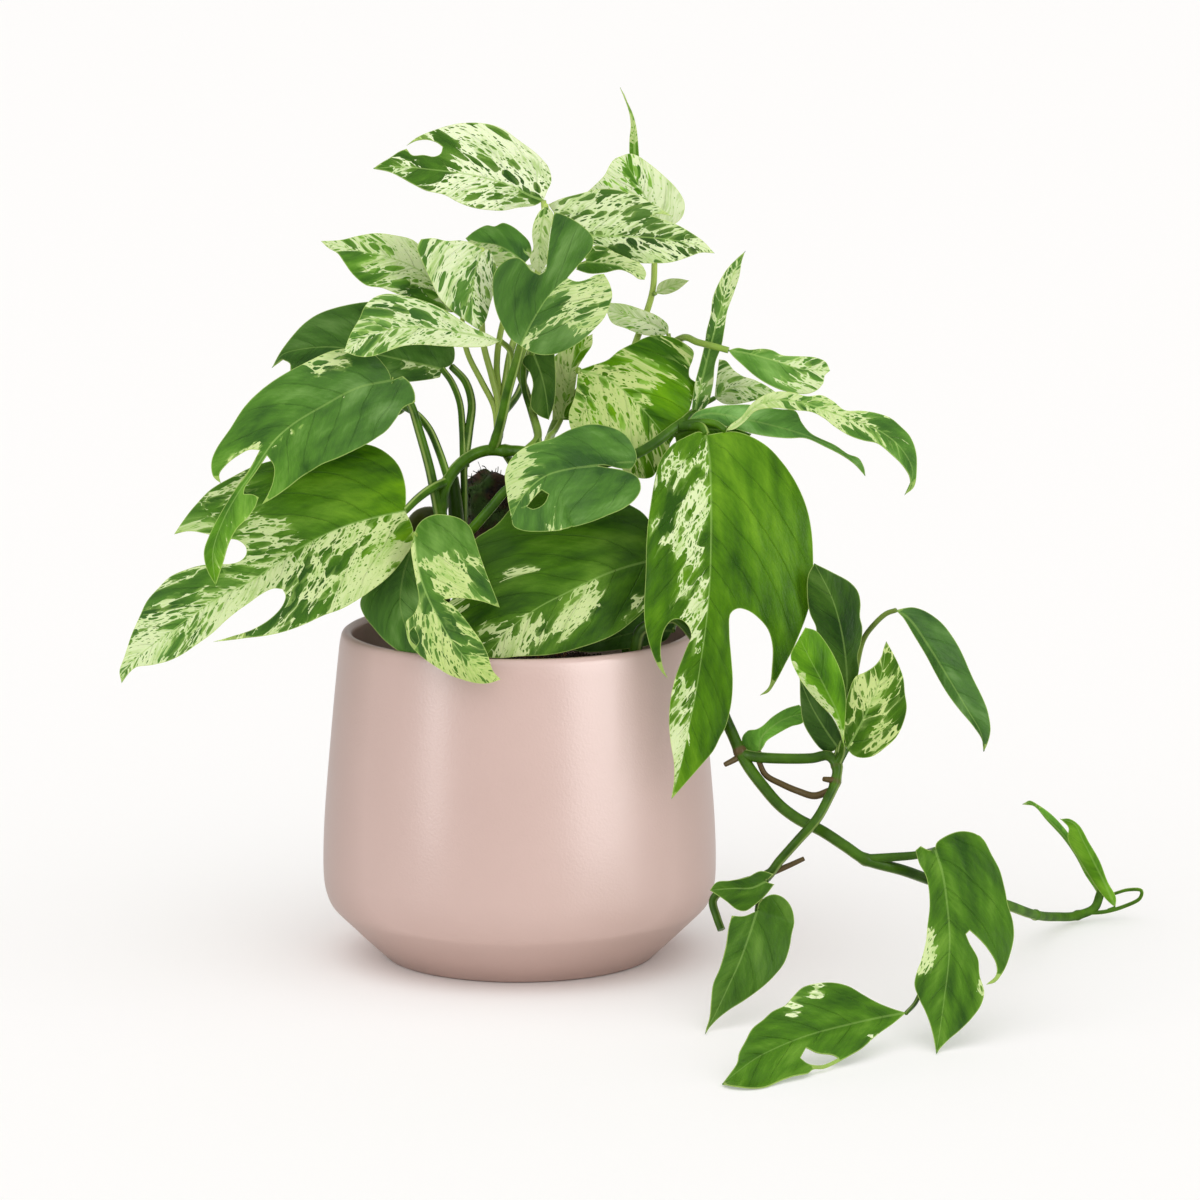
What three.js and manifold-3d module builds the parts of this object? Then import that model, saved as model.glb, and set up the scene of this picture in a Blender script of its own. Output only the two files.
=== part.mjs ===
// A potted marble king pothos: a tapered pink pot filled with soil, a coir stake, a crown of
// stems with marbled leaves, and a vine that trails down to the ground beside the pot.
// Millimetres, +Z up, the middle of the pot's foot at the origin, the front towards -Y.
import * as THREE from 'three';
import { mergeVertices } from 'three/addons/utils/BufferGeometryUtils.js';
import Module from 'manifold-3d';

const potHeight = 142.4;
const potRadius = 85;
const footRadius = 58.5;
const rimRadius = 77;
const soilTop = 119;
const holeDepth = 22;
const clearance = 0.3;
const jointGap = 0.8;
const bladeThickness = 0.9;
const tubeSides = 6;
const thinStem = 1.55;
const vineRadius = 2.4;
const groundClearance = 1;

// Leaves and stems are drawn as an eye in front of the pot sees them: each point is
// [right, up, deep], with right and up measured on the upright plane through the pot's axis
// and deep the real distance behind that axis (negative is towards the eye).
const eyeDistance = 2320;
const eyePitch = THREE.MathUtils.degToRad(9.7);
const sightRight = 34.8;
const sightUp = 155.2;
const sightHeight = 154.8;
const sinPitch = Math.sin(eyePitch);
const cosPitch = Math.cos(eyePitch);

function seen(right, up, deep, lowest = groundClearance) {
  const rise = up - sightUp;
  const toDepth = (deep - rise * sinPitch) / (cosPitch + rise * sinPitch / eyeDistance);
  const toGround = (sightHeight + rise * cosPitch - lowest) / (sinPitch - rise * cosPitch / eyeDistance);
  const away = Math.min(toDepth, toGround);
  const scale = 1 + away / eyeDistance;
  return new THREE.Vector3(
    sightRight + (right - sightRight) * scale,
    rise * scale * sinPitch + away * cosPitch,
    sightHeight + rise * scale * cosPitch - away * sinPitch,
  );
}

const wasm = await Module();
wasm.setup();

function toSolid(geometry) {
  const bare = geometry.clone();
  bare.deleteAttribute('normal');
  bare.deleteAttribute('uv');
  const merged = mergeVertices(bare, 1e-4);
  return new wasm.Manifold(new wasm.Mesh({
    numProp: 3,
    vertProperties: new Float32Array(merged.attributes.position.array),
    triVerts: new Uint32Array(merged.index.array),
  }));
}

function toGeometry(solid) {
  const mesh = solid.getMesh();
  const geometry = new THREE.BufferGeometry();
  geometry.setAttribute('position', new THREE.BufferAttribute(new Float32Array(mesh.vertProperties), 3));
  geometry.setIndex(new THREE.BufferAttribute(new Uint32Array(mesh.triVerts), 1));
  geometry.computeVertexNormals();
  return geometry;
}

const plant = new THREE.Group();

function place(name, geometry, colour, roughness = 0.5) {
  const material = new THREE.MeshStandardMaterial({ color: colour, roughness, metalness: 0 });
  const mesh = new THREE.Mesh(geometry, material);
  mesh.name = name;
  plant.add(mesh);
}

// A closed sheet of even thickness over triangles, spread outwards past its margin if asked.
function sheet(points, faces, thickness, spread = 0) {
  const normals = points.map(() => new THREE.Vector3());
  const outwards = points.map(() => new THREE.Vector3());
  const used = new Map();
  for (const [a, b, c] of faces) {
    const ab = points[b].clone().sub(points[a]);
    const ac = points[c].clone().sub(points[a]);
    const facing = ab.cross(ac);
    for (const corner of [a, b, c]) {
      normals[corner].add(facing);
    }
    for (const [from, to] of [[a, b], [b, c], [c, a]]) {
      used.set(`${from},${to}`, [from, to]);
    }
  }
  const rim = [...used.values()].filter(([from, to]) => !used.has(`${to},${from}`));
  for (const [from, to] of rim) {
    const outward = points[to].clone().sub(points[from]).cross(normals[from]).normalize();
    outwards[from].add(outward);
    outwards[to].add(outward);
  }
  const positions = [];
  for (const side of [0.5, -0.5]) {
    points.forEach((point, i) => {
      const shifted = point.clone().addScaledVector(normals[i].clone().normalize(), side * thickness)
        .addScaledVector(outwards[i].clone().normalize(), spread);
      positions.push(shifted.x, shifted.y, shifted.z);
    });
  }
  const back = points.length;
  const index = [];
  for (const [a, b, c] of faces) {
    index.push(a, b, c, back + a, back + c, back + b);
  }
  for (const [from, to] of rim) {
    index.push(from, back + from, back + to, from, back + to, to);
  }
  const geometry = new THREE.BufferGeometry();
  geometry.setAttribute('position', new THREE.Float32BufferAttribute(positions, 3));
  geometry.setIndex(index);
  return geometry;
}

// How deep a point of a blade lies: the midrib's depth beside it, plus the tilt and the curl
// of its half, which grow with the distance from the midrib.
function bladeDepth(rib, x, y, tilt, curl) {
  let best = Infinity;
  let depth = 0;
  for (let i = 1; i < rib.length; i += 1) {
    const [ax, ay, ad] = rib[i - 1];
    const [bx, by, bd] = rib[i];
    const span = (bx - ax) ** 2 + (by - ay) ** 2;
    const along = THREE.MathUtils.clamp(((x - ax) * (bx - ax) + (y - ay) * (by - ay)) / span, 0, 1);
    const gap = Math.hypot(x - ax - along * (bx - ax), y - ay - along * (by - ay));
    if (gap < best) {
      best = gap;
      depth = ad + along * (bd - ad);
    }
  }
  return depth + tilt * best + curl * best * best;
}

// A blade is two halves that share the midrib. Each half is a margin from joint to tip, with
// its cuts and lobes, and may have holes; the halves tilt and curl by their own amounts.
function blade(leaf, thickness = bladeThickness, spread = 0) {
  const points = leaf.rib.map(([x, y, deep]) => seen(x, y, deep));
  const faces = [];
  for (const half of leaf.halves) {
    const [tilt, curl] = half.form;
    const outline = leaf.rib.concat(half.margin.slice().reverse());
    const contour = outline.map(([x, y]) => new THREE.Vector2(x, y));
    const holes = (half.holes ?? []).map((hole) => hole.map(([x, y]) => new THREE.Vector2(x, y)));
    const ids = leaf.rib.map((point, i) => i);
    for (const { x, y } of contour.slice(leaf.rib.length).concat(...holes)) {
      ids.push(points.length);
      points.push(seen(x, y, bladeDepth(leaf.rib, x, y, tilt, curl)));
    }
    for (const face of THREE.ShapeUtils.triangulateShape(contour, holes)) {
      const [a, b, c] = face.map((corner) => ids[corner]);
      const [p, q, r] = face.map((corner) => contour.concat(...holes)[corner]);
      const turn = (q.x - p.x) * (r.y - p.y) - (q.y - p.y) * (r.x - p.x);
      faces.push(turn > 0 ? [a, b, c] : [a, c, b]);
    }
  }
  return sheet(points, faces, thickness, spread);
}

const deepGreen = '#3f6f33';
const leafGreen = '#55852b';
const marbled = '#9db968';
const pale = '#c3d493';
const stemGreen = '#4f7a2f';

const leaves = {
  leaf_top_left: { colour: pale,
    rib: [[10.5, 327, 0], [5, 329, -1], [-3, 333, -3], [-12, 336, -5], [-24, 338.6, -7], [-38, 340.3, -9],
      [-50, 341.5, -9], [-62.8, 340.8, -8]],
    halves: [
      { form: [0.45, 0.004], margin: [[12, 331], [13.7, 335], [12.5, 341], [8, 347], [0, 353], [-8, 358], [-17, 360],
        [-27, 360], [-34, 358.3], [-40, 356], [-44.5, 353.6], [-48.3, 350.4], [-44, 352.6], [-39, 353.2], [-35, 352],
        [-32.8, 350.3], [-33.6, 347.4], [-36.5, 346], [-41, 346.6], [-46, 346.4], [-48.3, 349], [-51.5, 347.8],
        [-55.5, 345.2], [-59.5, 343]] },
      { form: [-0.5, 0], margin: [[7, 325], [0, 324], [-8, 322.5], [-18, 323.5], [-25, 326], [-32, 329.5], [-40, 331],
        [-46, 334], [-51, 337], [-55.5, 339.2]] },
    ] },
  leaf_top_right: { colour: marbled,
    rib: [[24, 313, -5], [32, 311.9, -6], [45, 311.6, -9], [58, 310.9, -12], [70, 309.3, -15], [78, 307.4, -17],
      [84, 304.5, -19]],
    halves: [
      { form: [0.5, 0.004], margin: [[17, 319], [12.5, 325.3], [18, 328], [26, 330], [34, 331.4], [41, 331.5], [50, 329.6],
        [58, 325.5], [65.8, 320], [60, 321.4], [56.5, 320.6], [62, 318.6], [68, 316.3], [74, 313], [79, 309.6]] },
      { form: [-0.4, 0], margin: [[28, 309.5], [35, 306.8], [40, 303.7], [46, 301.3], [52, 300], [58, 299.8], [65, 300.4],
        [72, 302.6], [78, 304.6]] },
    ] },
  leaf_back_top: { colour: pale,
    rib: [[60, 318, 20], [54, 329, 21], [49, 338, 22], [44, 346.2, 23]],
    halves: [
      { form: [-0.15, 0], margin: [[50, 317], [38, 322], [27.5, 329], [33, 334], [37, 338.3], [38.6, 341.6],
        [41, 344.8]] },
      { form: [0.4, 0], margin: [[66, 316.5], [70.4, 320], [71.2, 326], [68, 331.5], [62, 337.5], [57, 342],
        [51.2, 346.2], [47.5, 347.2]] },
    ] },
  leaf_rolled: { colour: leafGreen,
    rib: [[49.6, 345, 27], [49.6, 352, 27], [49.4, 359, 26], [47.6, 366, 25], [45.6, 371, 24], [43.3, 375.4, 23]],
    halves: [
      { form: [0.8, 0], margin: [[48, 346], [47.6, 352.5], [48, 359.5], [46.9, 366]] },
      { form: [0.8, 0], margin: [[51.5, 346], [51.2, 352], [50.4, 359], [48.7, 365]] },
    ] },
  leaf_upright_strip: { colour: pale,
    rib: [[11.5, 325, -11], [9.8, 317, -12], [9, 309, -13], [8.6, 302, -14], [8.6, 295.8, -15]],
    halves: [
      { form: [0.3, 0], margin: [[8.5, 322], [6.2, 317], [5.7, 312], [6.2, 306.5], [4.8, 303], [5.5, 299]] },
      { form: [0.3, 0], margin: [[14.5, 321.5], [13.3, 314], [12.4, 306], [11.9, 300]] },
    ] },
  leaf_under_top_right: { colour: deepGreen,
    rib: [[29, 300.5, -16], [36, 300, -17], [45, 298.3, -18]],
    halves: [
      { form: [0.3, 0], margin: [[28, 303.2], [33, 303.6], [38, 301.8]] },
      { form: [-0.3, 0], margin: [[28.6, 297.6], [31.5, 295.8], [38, 296.7]] },
    ] },
  leaf_upper_left: { colour: marbled,
    rib: [[-24, 279, -9], [-33, 287.5, -9], [-43, 297, -10], [-56, 302.6, -12], [-70, 305.5, -15], [-85, 309.6, -19]],
    halves: [
      { form: [0.45, 0], margin: [[-28, 286], [-36, 297], [-42, 307], [-46, 310.3], [-54, 312], [-62, 312.7],
        [-69, 311.8], [-77, 310]] },
      { form: [-0.35, 0], margin: [[-30, 279], [-38, 282], [-45, 284.8], [-52, 286.6], [-59, 289.3], [-65.5, 290.6],
        [-71, 295], [-75, 300.2], [-78, 304.2], [-82, 306.6]] },
    ] },
  leaf_upper_middle: { colour: marbled,
    rib: [[-16, 306, -16], [-18.5, 298, -19], [-20, 290, -21], [-20, 281, -22], [-17.5, 271.5, -23]],
    halves: [
      { form: [-0.25, 0], margin: [[-20, 308.5], [-25, 309.8], [-31, 309.6], [-37, 310.8], [-42, 310.4], [-43.7, 307],
        [-41.5, 301], [-38, 293], [-34.5, 285.5], [-29.5, 280], [-24, 275.8]] },
      { form: [0.3, 0], margin: [[-12.5, 306], [-10, 300], [-10.5, 291], [-12.5, 282], [-14.5, 275]] },
    ] },
  leaf_crown_back: { colour: deepGreen,
    rib: [[2.5, 300, 5], [-4, 305, 5], [-10, 308, 5], [-17, 309, 5], [-23, 310.8, 5]],
    halves: [
      { form: [0.4, 0], margin: [[5.2, 303.5], [4.5, 308.5], [1, 312.6], [-3.2, 315.9], [-7, 317.3], [-10.5, 315.9],
        [-14, 316.4], [-19, 314]] },
      { form: [-0.2, 0], margin: [[-2, 296], [-8, 298], [-14, 302], [-20, 307]] },
    ] },
  leaf_left_marbled: { colour: marbled,
    rib: [[-8, 266.6, -24], [-18, 268.8, -26], [-30, 271, -29], [-45, 272.6, -33], [-60, 270.5, -37], [-69, 266.5, -40],
      [-75.3, 262, -42]],
    halves: [
      { form: [0.4, 0], margin: [[-13, 269.4], [-20, 272.3], [-27, 276.6], [-34, 280.8], [-41, 284], [-49, 286],
        [-57, 286.8], [-62.5, 285], [-66.5, 281], [-68.7, 276], [-72.5, 269.5]] },
      { form: [-0.4, 0], margin: [[-13, 264.4], [-20, 263.8], [-30, 264.3], [-42, 265], [-50, 264.2], [-57, 262],
        [-63, 260.3], [-69, 260]] },
    ] },
  leaf_left_dark: { colour: deepGreen,
    rib: [[-33, 254.5, 4], [-48, 258, 4], [-63, 261.2, 3], [-80, 264, 2], [-94, 263, 0], [-102, 260.6, -2],
      [-106.4, 255, -3]],
    halves: [
      { form: [0.5, 0], margin: [[-28.6, 257], [-28.2, 264], [-35, 272], [-48, 279.5], [-60, 283], [-72, 282.4],
        [-85, 279], [-92, 274.5], [-98, 268], [-103.5, 260.5]] },
      { form: [-0.2, 0], margin: [[-34, 251], [-37, 250.3], [-47, 249], [-60, 248], [-75, 248.5], [-88, 250.5],
        [-98, 254], [-98.6, 257], [-101.5, 258.5]] },
    ] },
  leaf_left_large: { colour: deepGreen,
    rib: [[-55, 249.6, -32], [-69, 246.6, -37], [-84, 238.8, -44], [-97, 231, -50], [-105, 224, -56], [-109.4, 218, -60],
      [-114.6, 210, -64], [-120.6, 201.5, -69], [-127.2, 189.5, -74], [-131.6, 176, -78], [-130.6, 161.4, -80]],
    halves: [
      { form: [0.3, 0], margin: [[-55.4, 252], [-58, 256.5], [-63, 261.2], [-70, 263.2], [-80, 262.2], [-90, 258.2],
        [-100, 253], [-110, 246], [-118, 238.3], [-124, 229.5], [-130, 220.5], [-132.3, 214], [-131.4, 208],
        [-128.2, 205.2], [-128.8, 209], [-126, 213], [-121.5, 217], [-116, 220], [-111.5, 219.8], [-116.4, 210.8],
        [-122.2, 202.5], [-128.4, 192.5], [-133, 183.5], [-135.4, 176], [-134.2, 168.5]] },
      { form: [-0.35, 0], margin: [[-50, 251.5], [-47, 248.6], [-45, 244], [-44.8, 240.3], [-49.5, 238], [-53, 233],
        [-57, 228], [-62, 224.5], [-70, 220], [-78, 216], [-86, 213], [-93, 208.5], [-99, 203.5], [-105, 199],
        [-109.6, 197.2], [-115, 194.8], [-120, 190], [-125, 183], [-127.4, 176], [-128.6, 168]],
        holes: [[[-108, 216.6], [-105.6, 212.5], [-105.4, 206.5], [-107.4, 201.8], [-111.5, 199.5], [-116.6, 202.6],
          [-113.4, 208.2]]] },
    ] },
  leaf_left_front: { colour: marbled,
    rib: [[-49, 193.5, -44], [-60, 191.2, -46], [-75, 187, -50], [-90, 180, -54], [-104, 171, -58], [-116, 163, -62],
      [-128, 157, -66], [-140, 149, -70], [-152, 140, -74], [-162, 132.6, -78], [-168.6, 126, -81], [-171, 119.6, -83]],
    halves: [
      { form: [0.3, 0.003], margin: [[-48.6, 198], [-49, 205], [-51.5, 212.5], [-56.5, 218], [-62, 221.3], [-67, 222.4],
        [-78, 220.5], [-92, 218], [-105, 215.6], [-115, 212.6], [-125, 207], [-133, 202], [-140, 195.3],
        [-145, 188.5], [-148.2, 183.4], [-142, 184.9], [-134, 183.8], [-126.5, 181.8], [-120.5, 180.6], [-117.4, 177.6],
        [-117.4, 174.6], [-119.6, 172.2], [-124, 170.9], [-130, 170.8], [-137, 170], [-144, 167.7], [-150, 165],
        [-155, 160.5], [-160, 155], [-163.2, 148], [-166.6, 140], [-169.6, 131], [-171.8, 124.5]] },
      { form: [-0.3, 0], margin: [[-46, 187], [-45.6, 180], [-49, 174], [-53, 168.5], [-58, 163.5], [-64, 159],
        [-70, 155], [-77, 151], [-84, 148.5], [-92, 145], [-100, 142], [-108, 140], [-118, 138.6], [-131.6, 137.4],
        [-124, 139.4], [-117, 141.4], [-110, 145], [-105, 149], [-101.6, 153.2], [-100.4, 157.2], [-101.8, 160],
        [-105.5, 160.3], [-110.5, 158], [-116, 154], [-121, 150.4], [-126, 146.4], [-132, 141], [-138, 136.6],
        [-145, 131.6], [-151, 128.8], [-158, 127.3], [-164.6, 126.4], [-168, 123.6]] },
    ] },
  leaf_rim_left: { colour: deepGreen,
    rib: [[-46.5, 177, -44], [-50, 165, -46], [-51, 152, -49], [-47, 140, -50], [-38.4, 129.4, -54]],
    halves: [
      { form: [0.1, 0], margin: [[-51, 173], [-58, 166.5], [-66, 159], [-68.4, 154], [-67, 149], [-63, 143.6],
        [-57.5, 137.6], [-51, 133], [-44.5, 130.4]] },
      { form: [0.1, 0], margin: [[-44, 171], [-41, 161], [-38.6, 150], [-37, 140]] },
    ] },
  leaf_front_fold: { colour: marbled,
    rib: [[-45, 183, -57], [-44, 174, -61], [-42.6, 166, -65], [-39.4, 157, -70], [-34.5, 147, -77], [-28.5, 137, -83],
      [-20, 127.5, -88], [-8, 121, -91]],
    halves: [
      { form: [0.15, 0], margin: [[-44, 186.6], [-41, 190], [-36, 192], [-30, 191.6], [-25, 190], [-21, 186.5],
        [-18.8, 181], [-16.8, 174.5], [-14.6, 168], [-11.6, 160.5], [-8.3, 152], [-15, 154.6], [-22, 156],
        [-28, 156.2], [-32.4, 155.4], [-28, 152.4], [-24, 148], [-19.5, 142], [-16, 137], [-13.4, 131.5],
        [-11.4, 125]] },
      { form: [0.2, 0], margin: [[-46.4, 178], [-45.6, 171], [-44.2, 163], [-43.2, 155], [-45.6, 149], [-48.6, 146.2],
        [-48.4, 141], [-46.6, 136], [-42.4, 131.4], [-38.4, 128.4], [-34.6, 125.8], [-30.6, 123.2], [-25, 121],
        [-19, 119.5], [-13.4, 119.4]],
        holes: [[[-45.4, 143.6], [-47.2, 141], [-46.2, 137.6], [-43.8, 135.4], [-42.8, 137.4], [-43.8, 141]]] },
    ] },
  leaf_front_dark: { colour: deepGreen,
    rib: [[33, 213, -50], [22, 211.6, -53], [12, 208.8, -56], [4.6, 203.4, -59], [-0.4, 196.6, -61], [-3.3, 190.4, -63]],
    halves: [
      { form: [0.25, 0], margin: [[37, 214.4], [43, 212.8], [48.4, 212.2], [50.5, 216], [49, 222], [45, 227], [38, 230],
        [30, 230.7], [22, 228.5], [15, 225], [8, 223], [1, 220], [-4, 215], [-6, 209], [-5.5, 203], [-4.6, 196.6]] },
      { form: [-0.3, 0], margin: [[38, 212], [46, 210.2], [51, 207], [52.3, 203], [50, 198.5], [45, 194.5], [38, 191.5],
        [30, 188.5], [20, 186], [10, 184.7], [2, 185], [-2.4, 187]],
        holes: [[[12.6, 200.4], [9.6, 202.4], [6.6, 199.4], [3.4, 195.4], [6, 194.4], [10.6, 196.4]]] },
    ] },
  leaf_front_low: { colour: leafGreen,
    rib: [[56, 172, -45], [46, 169.4, -47], [35, 165.4, -50], [21, 158.6, -54], [8, 151.8, -58], [-3, 143.6, -62],
      [-15, 130.6, -67]],
    halves: [
      { form: [0.45, 0], margin: [[59, 177], [58, 185], [54, 192], [45, 197.5], [30, 200], [12, 195.5], [0, 190.5],
        [-8, 187], [-14, 184.5], [-19.4, 180.5], [-20.4, 171], [-20, 160], [-20.6, 149], [-18.4, 139]] },
      { form: [-0.2, 0], margin: [[60, 166], [58.4, 158], [54, 151], [48, 145.4], [42, 141], [36, 138], [28, 135.2],
        [20, 133], [10, 131.4], [0, 130.8], [-8, 130.2]] },
    ] },
  leaf_under_low: { colour: deepGreen,
    rib: [[66, 142, -20], [58, 141.8, -24], [47, 140.6, -30], [34, 137, -36], [18, 134, -40]],
    halves: [
      { form: [0.3, 0], margin: [[68, 147], [62, 150.4], [54, 150.4], [42, 146], [30, 140.6]] },
      { form: [-0.1, 0], margin: [[63, 137.8], [57, 136], [50, 134.6], [41, 133.6], [30, 132.8]] },
    ] },
  leaf_largest: { colour: leafGreen,
    rib: [[80.5, 226, -36], [82, 215, -46], [82.6, 200, -56], [82.6, 180, -65], [82, 162, -70], [80.6, 146, -73],
      [78.4, 130, -75], [76, 115, -77], [73, 100, -79], [69.6, 84, -81], [65.5, 69.5, -83]],
    halves: [
      { form: [-0.05, 0.006], margin: [[77.6, 227.6], [73, 226], [66, 222], [61, 215], [58, 205], [56, 193], [55, 180],
        [54.4, 168], [54, 155], [54.2, 145], [56, 136], [58.6, 129], [61.2, 124.4], [64, 121.4], [61.8, 126.5],
        [60.8, 132.5], [61.4, 139], [63.4, 144], [66.4, 146.8], [70, 146.6], [73, 143.6], [74, 139.4], [72.6, 136],
        [70.6, 131], [67.4, 122.5], [65.2, 113], [64.5, 103], [65.2, 94], [66.6, 85], [66.6, 77]] },
      { form: [-0.05, 0.006], margin: [[86, 226.7], [93, 227], [100, 225], [107, 221], [113, 215], [118, 208], [122, 199],
        [125, 188], [126.5, 178], [126.5, 166], [125, 155], [122, 144], [118, 134], [114, 127], [110, 120],
        [107, 115.6], [103.5, 114.2], [107.2, 118], [108.6, 126], [109.2, 135], [107.4, 142], [103.4, 147],
        [98.4, 150.6], [94, 151.5], [91, 149.4], [90.5, 141], [91.2, 131], [91.8, 120], [91.2, 110], [89, 101],
        [86.5, 96.3], [83.5, 90.5], [79, 85], [72.6, 77.6]] },
    ] },
  leaf_right_marbled: { colour: marbled,
    rib: [[25.5, 254, -10], [34, 252, -12], [42, 247.6, -14], [50, 240.6, -16], [57, 233, -18], [65, 222.6, -20]],
    halves: [
      { form: [0.3, 0], margin: [[31, 256], [38, 258.5], [43, 262.5], [50, 266], [55, 268.3], [60, 269], [66, 268],
        [71.5, 265.2], [75, 262], [74.6, 258.4], [73.2, 254.6], [73.4, 251], [76, 249], [75, 243], [73, 236],
        [69, 229]] },
      { form: [-0.15, 0], margin: [[26, 248], [26.4, 240], [26, 231], [33, 222], [42, 213], [50, 208], [57, 208],
        [61, 214], [64, 219]] },
    ] },
  leaf_centre_strip: { colour: marbled,
    rib: [[18, 232.6, 2], [20.6, 244, 2], [23, 256, 2], [31.6, 269.6, 2]],
    halves: [
      { form: [0.2, 0], margin: [[15.6, 233], [16.6, 242], [17, 252], [17.4, 259.6], [21, 262.4], [26, 266.4]] },
      { form: [0.2, 0], margin: [[21.4, 234.6], [23.6, 243], [24.6, 250], [25.4, 255.4], [28.4, 260.4], [31.4, 265]] },
    ] },
  leaf_centre_dark: { colour: deepGreen,
    rib: [[6, 261.6, -15], [9.6, 252, -15], [11.6, 243, -15], [12.8, 232.6, -15]],
    halves: [
      { form: [0.1, 0], margin: [[2.4, 260], [1.4, 257], [4.6, 253], [6, 248], [5.2, 243], [5.2, 238], [8.4, 234.6]] },
      { form: [0.1, 0], margin: [[10, 262], [15.2, 261.2], [15.8, 251], [15.2, 240]] },
    ] },
  leaf_centre_heart: { colour: deepGreen,
    rib: [[0.6, 264.6, -30], [4, 272, -31], [8, 279, -32], [12, 285.2, -33], [16.6, 290.2, -34], [20.6, 293.6, -35]],
    halves: [
      { form: [0.1, 0.004], margin: [[-3, 267], [-7, 273], [-10, 280], [-11.5, 288], [-11, 295], [-8, 299.5], [-4, 302],
        [0, 302.3], [3, 300], [5.4, 297], [9, 295.2], [11.4, 297], [12.3, 304], [13.4, 313], [15, 322], [18, 321.4],
        [23, 319], [28, 315.5], [31.8, 311], [31.5, 306.5], [28.5, 302.5], [24.5, 298]] },
      { form: [-0.2, 0], margin: [[4, 262.3], [8, 260.8], [12, 260.5], [17, 261.3], [22, 263.5], [28, 267.5],
        [33, 272.5], [36.5, 276.5], [38.5, 281], [40, 286], [39, 291], [36.5, 295.5], [33, 295], [29, 293],
        [24.6, 292.2]] },
    ] },
  leaf_right_pale: { colour: pale,
    rib: [[64.2, 269.6, 8], [58, 273.6, 8], [50, 276.6, 8], [37.4, 279.8, 8]],
    halves: [
      { form: [0.3, 0], margin: [[64, 273.4], [60, 277], [53, 280], [45, 282.5], [39, 283]] },
      { form: [-0.2, 0], margin: [[59, 268.6], [52, 269.6], [46, 272], [40, 274.4]] },
    ] },
  leaf_small_right: { colour: marbled,
    rib: [[58.8, 287, 10], [65, 290.2, 9], [73, 292.6, 8]],
    halves: [
      { form: [0.3, 0], margin: [[60, 291], [64, 293.2], [69, 293.4]] },
      { form: [-0.2, 0], margin: [[63, 286.6], [68, 288.4]] },
    ] },
  leaf_right_wing: { colour: deepGreen,
    rib: [[90, 262.6, -26], [99, 261, -27], [110, 258, -29], [121, 254.6, -31], [133.6, 254, -34]],
    halves: [
      { form: [0.5, 0], margin: [[94, 263.6], [99, 262.8], [105, 263.2], [109, 262.6], [113, 260.6], [121, 260],
        [128, 259.2], [132, 257.4]] },
      { form: [-0.5, 0], margin: [[92, 260], [96, 256.4], [100.6, 252.4], [106, 248.6], [112, 245.5], [118, 244],
        [124, 243.8], [128, 245.5], [130.8, 248.8], [131.4, 251.8]] },
    ] },
  leaf_upright_right: { colour: leafGreen,
    rib: [[75.6, 236, -15], [78, 247, -15], [81, 259, -15], [84.4, 272, -15], [88, 284, -15], [92, 295, -15],
      [97.3, 305.3, -15]],
    halves: [
      { form: [0.5, 0], margin: [[74.2, 237], [75.4, 247], [78, 257], [79.8, 265], [80.6, 271], [82.4, 278],
        [83.4, 285], [86, 291.4], [89.4, 297.4], [93.4, 301.8]] },
      { form: [0.6, 0], margin: [[80, 238], [83, 247], [84.4, 257], [87, 264], [88.2, 272], [89.4, 279.6],
        [92.4, 287.4], [94.8, 294.6], [95.6, 300]] },
    ] },
  leaf_right_behind: { colour: pale,
    rib: [[84, 242, -4], [92, 246.6, -4], [102, 246.4, -4], [110.7, 244.5, -4]],
    halves: [
      { form: [0.4, 0], margin: [[86, 258.6], [89, 258], [92.4, 254], [96, 251.6], [101, 250], [106, 247.5]] },
      { form: [-0.2, 0], margin: [[88, 239.6], [93, 239.4], [99, 240.4], [104.6, 242]] },
    ] },
  leaf_right_long: { colour: deepGreen,
    rib: [[73, 232.6, -22], [82, 235.4, -24], [95, 233.4, -27], [110, 230, -31], [123, 226.2, -35], [134, 221.4, -38],
      [141, 217.4, -40], [146, 213.6, -41], [149, 208.5, -42]],
    halves: [
      { form: [0.5, 0], margin: [[76, 236], [84, 238.3], [92, 239], [100, 239.2], [106, 238.2], [113, 237.2],
        [119, 236.2], [121.6, 231.4], [125.4, 227], [136, 221.8], [141.6, 218], [146, 216.2], [148.4, 212]] },
      { form: [-0.3, 0], margin: [[77, 231.4], [85, 230.8], [94, 228.5], [101, 226.6], [108, 225.3], [116, 224.7],
        [123, 224.8], [132, 220.9], [139.6, 216.9], [144.4, 213.4]] },
    ] },
  leaf_right_curved: { colour: pale,
    rib: [[89, 228, -37], [95, 231.6, -38], [101, 238, -39], [110, 241.2, -41], [122, 240, -44], [134, 236, -47],
      [146, 231.6, -50], [156, 227.4, -53], [164.6, 220, -57], [169.4, 210, -60], [165.8, 200.2, -62]],
    halves: [
      { form: [0.5, 0], margin: [[91, 230.6], [95.6, 234], [100, 239.6], [105, 243], [111, 244.7], [118, 244.2],
        [124, 242.8], [130, 243.4], [135, 240.8], [140, 236.8], [147, 236.4], [154, 235.4], [160, 233.4],
        [164.4, 229.8], [168, 226], [170.4, 220], [171, 213], [169.8, 204]] },
      { form: [-0.5, 0], margin: [[92.6, 228.8], [97, 232], [101.6, 236.4], [110, 237.8], [118, 237], [126, 236],
        [131, 233.4], [136, 229.4], [142, 226], [148, 224], [154, 222.6], [160, 217.6], [165, 212.8], [168, 208],
        [168.2, 204]] },
    ] },
  leaf_behind_largest: { colour: leafGreen,
    rib: [[67, 226, -24], [76, 228.6, -23], [86, 228.4, -23], [100, 226.6, -23]],
    halves: [
      { form: [0.4, 0], margin: [[70, 229.4], [77, 231.2], [84, 230.4], [92, 229.2]] },
      { form: [0.1, 0], margin: [[68, 220], [78, 216], [90, 218], [97, 223]] },
    ] },
};

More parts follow.
